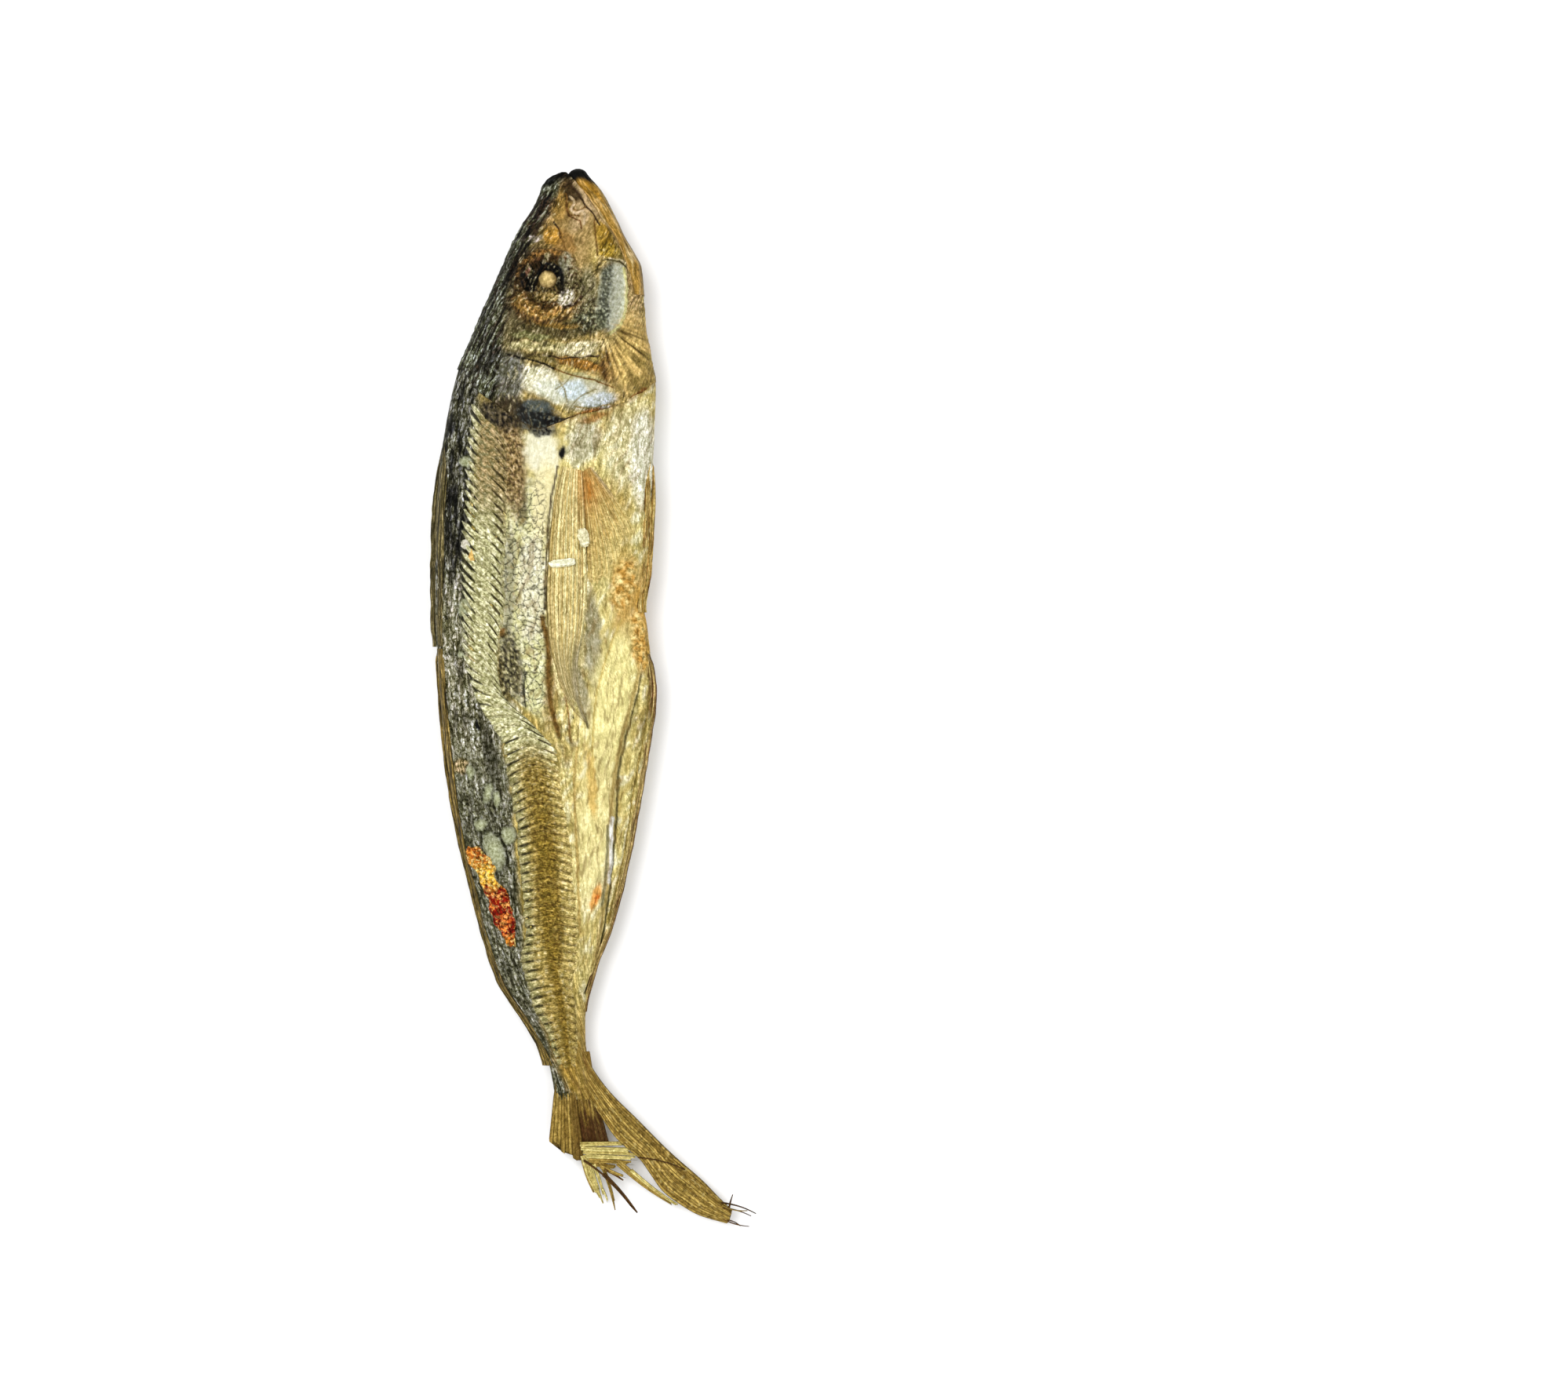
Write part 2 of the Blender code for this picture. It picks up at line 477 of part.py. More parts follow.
def main():
    for obj in list(bpy.data.objects):
        bpy.data.objects.remove(obj)
    fish = bpy.data.collections.new(PART_NAME)
    pieces = bpy.data.collections.new(FUSED_PARTS)
    bpy.context.scene.collection.children.link(fish)
    bpy.context.scene.collection.children.link(pieces)

    trunk = body(fish)
    lower_jaw(pieces)
    for side in (UPPER, LOWER):
        gill_cover(pieces, side)
        eye(pieces, side)
        pectoral_fin(pieces, side)
    scute_row(pieces)
    torn_skin(pieces)
    folded_fin("spiny_dorsal_fin", BACK_EDGE, *SPINY_DORSAL, -1, pieces)
    folded_fin("soft_dorsal_fin", BACK_EDGE, *SOFT_DORSAL, -1, pieces)
    folded_fin("anal_fin", BELLY_EDGE, *ANAL, 1, pieces)
    folded_fin("pelvic_fin", BELLY_EDGE, *PELVIC, 1, pieces)
    tail_lobe("short_tail_lobe", SHORT_LOBE_BACK_EDGE, SHORT_LOBE_INNER_EDGE, *SHORT_LOBE, 3, pieces)
    tail_lobe("torn_web", WEB_BACK_EDGE, WEB_INNER_EDGE, *WEB, 4, pieces)
    tail_lobe("long_tail_lobe", LONG_LOBE_OUTER_EDGE, LONG_LOBE_INNER_EDGE, *LONG_LOBE, 5, pieces)
    for name, (start, end, start_width, end_width) in LOOSE_RAYS.items():
        loose_ray(name, start, end, start_width, end_width, pieces)

    fuse(trunk, pieces)
    trunk.data.materials.clear()
    trunk.data.materials.append(skin_material())


main()
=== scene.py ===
# %% [markdown]
# # A dried horse mackerel
#
# The fish lies on one flank with its snout towards +Y, its back towards -X and its belly towards +X. Drying
# has pulled the skin tight over the skull, opened cracks between the scales, sunk the eye and frayed the
# tail. Nearly all of that is surface, so this lesson is about surfaces worked out as arrays: the fish's
# plan is two curves, its flanks are two heights over that plan, and each piece that lies on the fish asks
# those two functions where the skin is.

# %% The frame
import math

import bpy
import numpy as np
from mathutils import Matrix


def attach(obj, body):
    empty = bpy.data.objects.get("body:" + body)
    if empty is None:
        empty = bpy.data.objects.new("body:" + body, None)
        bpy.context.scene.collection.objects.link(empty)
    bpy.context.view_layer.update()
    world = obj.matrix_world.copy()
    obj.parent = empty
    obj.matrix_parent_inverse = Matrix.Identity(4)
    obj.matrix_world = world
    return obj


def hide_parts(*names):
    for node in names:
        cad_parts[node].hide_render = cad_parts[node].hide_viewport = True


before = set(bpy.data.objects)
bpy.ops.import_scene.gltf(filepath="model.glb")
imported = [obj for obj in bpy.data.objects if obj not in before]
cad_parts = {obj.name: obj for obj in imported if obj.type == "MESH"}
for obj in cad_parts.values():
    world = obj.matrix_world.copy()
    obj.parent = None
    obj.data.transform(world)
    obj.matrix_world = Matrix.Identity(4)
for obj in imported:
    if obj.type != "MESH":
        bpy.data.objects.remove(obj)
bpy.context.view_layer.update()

# %% [markdown]
# ## Measuring along the fish
#
# A fisherman measures a fish from its snout, and so do these tables: each entry is a distance behind the
# snout and a value there, in millimetres. A curve that passes through a few such points can be a spline,
# but a spline swings past them and puts waves in the outline. The curve here takes a flat tangent at every
# turning point, which keeps it inside the values that were measured.

# %% Units and curves
MM = 0.001
LENGTH = 216.2
UPPER, LOWER = 1, -1


def through(points, at):
    """Curve through (station, value) points: on each stretch a cubic whose end slopes are harmonic means."""
    station, value = np.array(points, float).T
    width = np.diff(station)
    slope = np.diff(value) / width
    same_way = slope[:-1] * slope[1:] > 0
    mean = 2 * slope[:-1] * slope[1:] / np.where(same_way, slope[:-1] + slope[1:], 1)
    tangent = np.concatenate([slope[:1], np.where(same_way, mean, 0), slope[-1:]])
    at = np.clip(np.asarray(at, float), station[0], station[-1])
    k = np.clip(np.searchsorted(station, at) - 1, 0, len(width) - 1)
    t = (at - station[k]) / width[k]
    return (
        (1 + 2 * t) * (1 - t) ** 2 * value[k]
        + t * (1 - t) ** 2 * width[k] * tangent[k]
        + t**2 * (3 - 2 * t) * value[k + 1]
        + t**2 * (t - 1) * width[k] * tangent[k + 1]
    )


def smooth_step(low, high, x):
    """0 below low, 1 above high, and 3t squared minus 2t cubed between them."""
    t = np.clip((x - low) / (high - low), 0, 1)
    return t * t * (3 - 2 * t)


def bell(x, width):
    """1 where x is 0, falling off as e to the minus square of x over the width."""
    return np.exp(-((x / width) ** 2))


def edge_points(edge, share):
    """Both coordinates of a smooth curve through points, at these shares of its length."""
    edge = np.array(edge, float)
    length = np.concatenate([[0], np.cumsum(np.hypot(*np.diff(edge, axis=0).T))])
    reach = np.asarray(share) * length[-1]
    return [through(np.stack([length, edge[:, column]], axis=1), reach) for column in (0, 1)]


print("curves pass through their points:", through(((0, 1), (10, 3), (20, 2)), [0, 10, 20]))

# %% [markdown]
# ## Noise for wrinkles and stains
#
# Dried skin has wrinkles that run along the body and stains with ragged outlines. Painting them by hand
# would tie them to one picture. Here gradient noise makes both, for whole arrays at once. It also bends the
# plan before a mark is laid on it, so that an oval becomes a stain and a straight line becomes a crease.


# %% Noise
def scatter(i, j, seed):
    """A repeatable number from 0 to 1 for each lattice corner: the fraction of a large sine."""
    return np.abs(np.sin(i * 127.1 + j * 311.7 + seed * 74.7) * 43758.5453) % 1


def noise(u, v, seed=0):
    """Gradient noise, about -1 to 1: each corner's slope times the way to it, blended by an S-curve."""
    u, v, seed = np.broadcast_arrays(np.asarray(u, float), np.asarray(v, float), seed)
    i, j = np.floor(u), np.floor(v)
    a, b = u - i, v - j

    def corner(di, dj):
        turn = 2 * np.pi * scatter(i + di, j + dj, seed)
        return np.cos(turn) * (a - di) + np.sin(turn) * (b - dj)

    s, t = smooth_step(0, 1, a), smooth_step(0, 1, b)
    low = corner(0, 0) * (1 - s) + corner(1, 0) * s
    high = corner(0, 1) * (1 - s) + corner(1, 1) * s
    return 1.5 * (low * (1 - t) + high * t)


def layered_noise(u, v, seed=0, layers=3):
    """Noise plus finer noise at half the size and half the strength, several times over."""
    total = 0
    for k in range(layers):
        total = total + noise(u * 2**k, v * 2**k, seed + k) / 2**k
    return total


def wrinkles(u, v, seed=0):
    """Sharp ridges where noise crosses zero: one minus twice its size, finer ones on top; about -1 to 1."""
    coarse = 1 - 2.4 * np.abs(noise(u, v, seed))
    return 0.7 * coarse + 0.4 * (1 - 2.4 * np.abs(noise(2.1 * u, 2.1 * v, seed + 5)))


def wander(x, at, seed, reach=0.45):
    """Plan points moved about by noise, which makes whatever is drawn on them ragged."""
    return (
        x + reach * layered_noise(x / 2.2, at / 2.2, seed),
        at + reach * layered_noise(x / 2.2, at / 2.2, seed + 17),
    )


sample = layered_noise(np.linspace(0, 50, 400)[:, None], np.linspace(0, 50, 400)[None, :])
print("noise runs from", sample.min().round(2), "to", sample.max().round(2))

# %% [markdown]
# ## The two flanks
#
# A horse mackerel's body is a lens in section: blunt along the back, keeled along the belly. It could be
# sculpted, or lofted from drawn sections. A height function over the plan is chosen instead, because the
# scales, fins and gill covers all have to lie on the same skin, and a function can be asked for its height
# anywhere.

# %% Plan and side view of the body
BACK_EDGE = (
    (0.9, -7.4), (1.4, -8.6), (2.0, -9.6), (3.2, -10.8), (5.3, -11.7), (7.8, -12.9), (14.6, -16.9),
    (22.2, -20.1),
    (30.4, -23.8), (43.8, -28.7), (62.4, -31.9), (75.2, -32.7), (89.3, -32.7), (106.4, -31.9),
    (127.5, -29.5),
    (146.2, -25.4), (165.1, -19.9), (175.8, -13.2), (182.9, -9.7), (189.6, -8.3),
)
BELLY_EDGE = (
    (0.9, -6.0), (1.4, -5.2), (2.4, -3.8), (4.6, -1.8), (8.0, 0.8), (11.4, 3.2), (14.9, 5.5), (20.8, 8.9),
    (32.6, 10.2), (43.8, 11.8), (64.8, 11.3), (84.6, 10.0), (89.3, 9.5), (93.1, 10.2), (106.8, 11.4),
    (118.1, 10.2),
    (135.5, 7.3), (153.3, 3.1), (164.2, -0.7), (173.6, -2.6), (180.0, -2.2), (189.6, 1.6),
)
MID_HEIGHT = ((0, 6.8), (20, 7.1), (50, 7.6), (90, 7.2), (130, 6.5), (165, 5.7), (190, 5.0))
UPPER_SWELL = (
    (0, 1.5), (8, 3.6), (20, 6.3), (35, 8.4), (50, 9.4), (90, 9.0), (110, 8.3), (130, 7.0), (150, 5.6),
    (165, 4.2), (178, 2.6), (185, 1.4), (190, 0.6),
)
LOWER_SWELL = (
    (0, 1.4), (8, 3.3), (20, 5.5), (35, 6.4), (50, 7.0), (62, 7.6), (90, 7.5), (110, 7.1), (130, 5.9),
    (150, 4.8), (165, 3.7), (178, 2.4), (185, 1.3), (190, 0.6),
)
BACK_FULLNESS, BELLY_FULLNESS, LOWER_FULLNESS = 0.72, 1.12, 0.75
BODY_START, BODY_END = 0.9, 189.6

SCUTE_LINE = (
    (50.4, -21.0), (66.6, -22.2), (85.0, -22.8), (97.0, -23.0), (103.6, -22.3), (108.4, -19.7),
    (112.4, -16.4),
    (116.8, -13.2), (125.6, -11.5), (141.6, -9.8), (157.6, -8.8), (173.6, -6.5), (183.2, -5.4),
    (189.6, -3.1),
)
SCUTE_HALF_WIDTH = (
    (50.4, 3.6), (60, 4.5), (106, 4.7), (118, 5.6), (155, 5.8), (173.6, 4.0), (183, 2.4), (189.6, 1.2)
)
CREASE = ((92.0, 9.8), (106.4, 7.6), (118.1, 5.7), (127.5, 4.3), (144.0, 2.9), (160.3, 0.6), (168.8, -2.7))


def body_relief(x, at):
    """The sunken belly and its long crease: two troughs, each a bell curve across that fades at its ends."""
    hollow_x = 3.5 + 1.5 * smooth_step(60, 110, at)
    hollow_along = smooth_step(60, 78, at) * (1 - smooth_step(112, 140, at))
    crease_along = smooth_step(92, 104, at) * (1 - smooth_step(160, 169, at))
    hollow = 1.5 * bell(x - hollow_x, 3.4) * hollow_along
    return -hollow - 0.7 * bell(x - through(CREASE, at), 0.8) * crease_along


def skin_height(x, at, side):
    """Height of a flank over the plan: the mid height, and a half circle across raised to a power."""
    x, at, side = np.broadcast_arrays(np.asarray(x, float), np.asarray(at, float), side)
    back, belly = through(BACK_EDGE, at), through(BELLY_EDGE, at)
    across = np.clip((2 * x - back - belly) / (belly - back), -1, 1)
    rise = np.sqrt(1 - across**2)
    middle = through(MID_HEIGHT, at)
    fullness = BACK_FULLNESS + (BELLY_FULLNESS - BACK_FULLNESS) * smooth_step(-0.6, 1, across)
    relief = body_relief(x, at) * rise
    above = middle + through(UPPER_SWELL, at) * rise**fullness + relief
    below = middle - through(LOWER_SWELL, at) * rise**LOWER_FULLNESS - 0.6 * relief
    return np.where(side == UPPER, above, np.maximum(below, 0))


def in_space(x, at, height):
    """Plan point and height as a point in millimetres, with the origin under the fish's middle."""
    x, at, height = np.broadcast_arrays(x, at, height)
    return np.stack([x, LENGTH / 2 - at, height], axis=-1)


# %% [markdown]
# ## What the camera sees
#
# The marks below were measured on the photograph, and a camera that stands three quarters of a metre above
# the fish shows whatever is nearer to it a little further from the picture's middle. At the top of the
# flank that is about a millimetre. Paint is therefore looked up where the camera sees each point, and a
# piece that was measured in the picture is moved to where it has to lie to be seen there.

# %% Line of sight
SIGHT_X, SIGHT_AT, MEASURED_HEIGHT = 38.2, 106.4, 7.0
PHOTO_WIDTH, MM_PER_PIXEL = 1998, 0.16
LENS_MM, SENSOR_MM = 85.0, 36.0
SIGHT_RISE = PHOTO_WIDTH * MM_PER_PIXEL * LENS_MM / SENSOR_MM


def as_seen(x, at, height):
    """Where the camera sees a point: whatever is nearer to it looks further from the picture's middle."""
    larger = SIGHT_RISE / (SIGHT_RISE + MEASURED_HEIGHT - height)
    return SIGHT_X + (x - SIGHT_X) * larger, SIGHT_AT + (at - SIGHT_AT) * larger


def from_sight(x, at, height):
    """Where a point at this height lies, if the camera sees it over the plan point x, at."""
    larger = SIGHT_RISE / (SIGHT_RISE + MEASURED_HEIGHT - height)
    return SIGHT_X + (x - SIGHT_X) / larger, SIGHT_AT + (at - SIGHT_AT) / larger


# %% [markdown]
# ## Rings round the body
#
# The skin's grids go round the body at each station, closer together near the back and the belly, where the
# surface turns fastest. Each point also gets a place on the skin, which the fibres of the finish follow.


# %% Rings and places
def around_fish(at, upper_steps, lower_steps):
    """Rings round the body at these stations: plan x, side of each point, and the points in space."""
    def spread(steps):
        angle = np.linspace(0, math.pi, steps + 1)
        return 0.5 * (2 * angle / math.pi - 1) - 0.5 * np.cos(angle)

    across = np.concatenate([spread(upper_steps), spread(lower_steps)[1:-1][::-1]])
    side = np.where(np.arange(len(across)) <= upper_steps, UPPER, LOWER)
    back, belly = through(BACK_EDGE, at), through(BELLY_EDGE, at)
    x = (back + belly) / 2 + (belly - back) / 2 * across
    return x, side, in_space(x, at, skin_height(x, at, side))


FULL_GIRTH = 92


def place_on_skin(points, at, side, evened):
    """How far round the skin each point is from the back, and how far behind the snout, in mm.

    Where evened is 1, the way round is widened by the square root of the full girth over the girth there,
    so that the fibres close up only half as much as the body does towards the tail.
    """
    step = np.linalg.norm(np.roll(points, -1, axis=1) - points, axis=-1)
    reach = np.cumsum(step, axis=1) - step
    girth = step.sum(axis=1, keepdims=True)
    around = np.where(side == UPPER, reach, reach - girth)
    return np.stack([around * (FULL_GIRTH / girth) ** (0.5 * evened), at + 0 * around, 0 * around], axis=-1)


print("the back of the head stands", round(float(skin_height(-10, 50, UPPER)), 1), "mm high")

# %% [markdown]
# ## From arrays to meshes
#
# Every piece below is a grid of points, rows along the fish and columns round it. One helper turns such
# grids into a mesh: it joins the last column to the first, closes both ends, works out which way the faces
# point from the enclosed volume, and stores every point's paint, place on the skin and finish as
# attributes, which the materials read.

# %% Mesh helpers
FINISH = ("streak", "crackle", "mottle", "gloss")
TABLE_GAP = 0.02


def shell(points, tint, place, streak=0.3, crackle=0.0, mottle=0.5, gloss=0.5):
    """One closed shell of a piece: points, four-sided faces, the two end rings, and values at every point."""
    rows, count = points.shape[:2]
    near = np.arange(count)
    far = np.roll(near, -1)
    ring = np.stack([near, near + count, far + count, far], axis=1)
    quads = (ring[None] + (np.arange(rows - 1) * count)[:, None, None]).reshape(-1, 4)
    ends = [near, near[::-1] + (rows - 1) * count]
    flat = points.reshape(-1, 3)
    a, b, c, d = ((flat - flat.mean(axis=0))[quads[:, k]] for k in range(4))
    volume = np.einsum("ij,ij->i", a, np.cross(b, c)).sum() + np.einsum("ij,ij->i", a, np.cross(c, d)).sum()
    if volume < 0:
        quads, ends = quads[:, ::-1], [end[::-1] for end in ends]
    made = {
        name: np.broadcast_to(value, (rows, count)).ravel()
        for name, value in zip(FINISH, (streak, crackle, mottle, gloss))
    }
    made["tint"] = np.broadcast_to(tint, (rows, count, 3)).reshape(-1, 3)
    made["place"] = np.broadcast_to(place, (rows, count, 3)).reshape(-1, 3)
    return flat, quads, ends, made


def build_piece(name, shells, material):
    """Joins shells into one object in metres, smooth shaded, that rides with the fish."""
    points = np.concatenate([one[0] for one in shells]) * MM
    starts = np.cumsum([0] + [len(one[0]) for one in shells[:-1]])
    quads = np.concatenate([one[1] + start for one, start in zip(shells, starts)])
    ends = [end + start for one, start in zip(shells, starts) for end in one[2]]
    corners = np.concatenate([quads.ravel(), *ends])
    totals = np.concatenate([np.full(len(quads), 4), [len(end) for end in ends]])
    mesh = bpy.data.meshes.new(name)
    mesh.vertices.add(len(points))
    mesh.vertices.foreach_set("co", points.ravel())
    mesh.loops.add(len(corners))
    mesh.loops.foreach_set("vertex_index", corners)
    mesh.polygons.add(len(totals))
    mesh.polygons.foreach_set("loop_start", np.cumsum(totals) - totals)
    mesh.polygons.foreach_set("loop_total", totals)
    mesh.update()
    values = {key: np.concatenate([one[3][key] for one in shells]) for key in (*FINISH, "tint", "place")}
    for key in FINISH:
        mesh.attributes.new(key, "FLOAT", "POINT").data.foreach_set("value", np.clip(values[key], 0, 1))
    tint = np.concatenate([np.clip(values["tint"], 0, 1), np.ones((len(points), 1))], axis=1)
    mesh.attributes.new("tint", "FLOAT_COLOR", "POINT").data.foreach_set("color", tint.ravel())
    mesh.attributes.new("place", "FLOAT_VECTOR", "POINT").data.foreach_set(
        "vector", values["place"].ravel()
    )
    mesh.shade_smooth()
    mesh.materials.append(material)
    piece = bpy.data.objects.new(name, mesh)
    bpy.context.scene.collection.objects.link(piece)
    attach(piece, "root")
    print(f"{name}: {len(points)} points, {(totals - 2).sum()} triangles")
    return piece


def push_out(points, height):
    """Moves each point of a closed ring grid along its own normal, found from its neighbours, by a height."""
    along = np.gradient(points, axis=0)
    around = np.roll(points, -1, axis=1) - np.roll(points, 1, axis=1)
    normal = np.cross(along, around)
    normal = normal / np.maximum(np.linalg.norm(normal, axis=-1, keepdims=True), 1e-9)
    moved = points + normal * np.asarray(height)[..., None]
    moved[..., 2] = np.maximum(moved[..., 2], TABLE_GAP)
    return moved


def slab_on(x, at, top, bottom, columns=5):
    """A slab's ring grid: its top as it is, and back along its bottom in a few columns."""
    back = np.round(np.linspace(x.shape[1] - 1, 0, columns)).astype(int)
    points = np.concatenate([in_space(x, at, top), in_space(x, at, bottom)[:, back]], axis=1)
    points[..., 2] = np.maximum(points[..., 2], TABLE_GAP)
    order = np.concatenate([np.arange(x.shape[1]), back])
    return points, order

# %% [markdown]
# ## Paint
#
# The skin's colours are laid one over another, as a scale modeller would: a ground coat, then broad bands,
# then patches, then thin lines. A cover of 1 hides what is beneath it. The colours are named as a screen
# shows them. The picture is exposed until the white table burns out, so a paint reflects two thirds of what
# the screen shows.


# %% Palette and brushes
PAINT_SHARE = 0.67


def tone(red, green, blue):
    """Linear colour from screen values of 0 to 255, times the share that a paint reflects."""
    value = np.array([red, green, blue]) / 255
    return PAINT_SHARE * np.where(value <= 0.04045, value / 12.92, ((value + 0.055) / 1.055) ** 2.4)


BLACK = tone(12, 12, 10)
SLATE = tone(70, 68, 56)
ASH = tone(140, 136, 112)
SILVER = tone(202, 200, 178)
PEARL = tone(216, 232, 240)
BONE = tone(250, 245, 212)
STRAW = tone(244, 228, 152)
CREAM_GREEN = tone(226, 224, 166)
GOLD = tone(214, 188, 104)
AMBER = tone(198, 148, 48)
BROWN = tone(120, 86, 38)
DARK_BROWN = tone(58, 40, 22)
TAN = tone(196, 168, 116)
OLIVE = tone(162, 140, 68)
DARK_OLIVE = tone(88, 80, 44)


def lay(paint, colour, cover):
    """The paint with a colour laid over it, mixed in by the cover."""
    return paint + (colour - paint) * np.clip(cover, 0, 1)[..., None]


def lay_all(paint, coats):
    """The paint with (colour, cover) coats laid over it, first to last."""
    for colour, cover in coats:
        paint = lay(paint, colour, cover)
    return paint


def coat(colour, like):
    """One colour for every point of a grid."""
    return np.broadcast_to(colour, np.shape(like) + (3,))


def shaded(paint, share):
    """The paint made darker or paler by a share, with more of the change in its blue than in its red."""
    share = np.clip(share, 0.15, 2.0)[..., None]
    return paint * share ** np.array([0.92, 1.0, 1.18])


def patch(x, at, centre, half, turn=0.0, soft=0.3):
    """1 inside an oval and 0 outside: the distance from its centre in half-widths, with a soft edge."""
    c, s = math.cos(math.radians(turn)), math.sin(math.radians(turn))
    dx, dy = x - centre[0], at - centre[1]
    away = np.hypot((dx * c + dy * s) / half[0], (dy * c - dx * s) / half[1])
    return 1 - smooth_step(1 - soft, 1 + soft, away)


def from_line(x, at, line, reach=4.0):
    """Plan distance, up to a reach, from a smooth curve through (x, distance behind the snout) points."""
    curve = np.stack(edge_points(line, np.linspace(0, 1, 6 * len(line))), axis=1)
    x, at = np.broadcast_arrays(x, at)
    nearest = np.full(x.shape, reach)
    low, high = curve.min(axis=0) - reach, curve.max(axis=0) + reach
    close = (x > low[0]) & (x < high[0]) & (at > low[1]) & (at < high[1])
    px, pa, best = x[close], at[close], nearest[close]
    for (x0, a0), (x1, a1) in zip(curve, curve[1:]):
        run, rise = x1 - x0, a1 - a0
        t = np.clip(((px - x0) * run + (pa - a0) * rise) / (run * run + rise * rise), 0, 1)
        best = np.minimum(best, np.hypot(px - x0 - t * run, pa - a0 - t * rise))
    nearest[close] = best
    return nearest


def lay_marks(paint, ragged, steady, patches, lines):
    """Lays listed patches over the paint on ragged plan points, then lines on steadier ones.

    A patch is (name, centre, half size, turn, colour, cover), and a line is (name, half width, colour,
    depth, points).
    """
    for _, centre, half, turn, colour, cover in patches:
        paint = lay(paint, colour, cover * patch(*ragged, centre, half, turn))
    for _, width, colour, _, line in lines:
        paint = lay(paint, colour, 1 - smooth_step(0.4 * width, 1.5 * width, from_line(*steady, line)))
    return paint


def groove_depth(x, at, lines):
    """Height in mm of the listed lines' grooves, or of their ridges where a depth is negative."""
    return -sum(depth * bell(from_line(x, at, line), 1.6 * width) for _, width, _, depth, line in lines)


print("palette runs from", BLACK.round(3), "to", BONE.round(3))

# %% [markdown]
# ## The dried finish
#
# Up close the skin is a tangle: hair-fine dark lines that follow the fibres, a net of cracks, and salt-fine
# mottling. The mesh carries forms down to half a millimetre, and the material carries what is finer. It
# takes the piece's own paint, darkens and lightens it by noise stretched along the fibres, by even noise,
# and along the edges of cells, and uses the same patterns as bump, so that a dark line is also a groove.
# How strong each pattern is comes from attributes, so one finish serves the back and the belly.


# %% The finish as nodes
DULL_SHINE = 0.04
NOISE_RANGE = (0.385, 0.61)


def add(tree, kind, sockets, **settings):
    """A node with its settings and input sockets, each given as a value or as the output that feeds it."""
    made = tree.nodes.new(kind)
    for key, value in settings.items():
        setattr(made, key, value)
    for key, value in sockets.items():
        if isinstance(value, bpy.types.NodeSocket):
            tree.links.new(value, made.inputs[key])
        else:
            made.inputs[key].default_value = value
    return made.outputs[0]


def attribute(tree, name, kind):
    """An output of the node that reads the piece's named attribute."""
    return add(tree, "ShaderNodeAttribute", {}, attribute_name=name).node.outputs[kind]


def ramp(tree, value, low, high, start=0.0, end=1.0):
    """A number carried from one range to another and held at its ends."""
    limits = {"Value": value, "From Min": low, "From Max": high, "To Min": start, "To Max": end}
    return add(tree, "ShaderNodeMapRange", limits)


def maths(tree, operation, *values):
    """One arithmetic step on numbers."""
    return add(tree, "ShaderNodeMath", dict(enumerate(values)), operation=operation)


def contrast(tree, pattern, strength, dark, pale):
    """Shade that a pattern gives: from 1 minus dark to 1 plus pale, both times the strength."""
    low = maths(tree, "MULTIPLY_ADD", strength, -dark, 1.0)
    high = maths(tree, "MULTIPLY_ADD", strength, pale, 1.0)
    return ramp(tree, pattern, *NOISE_RANGE, low, high)


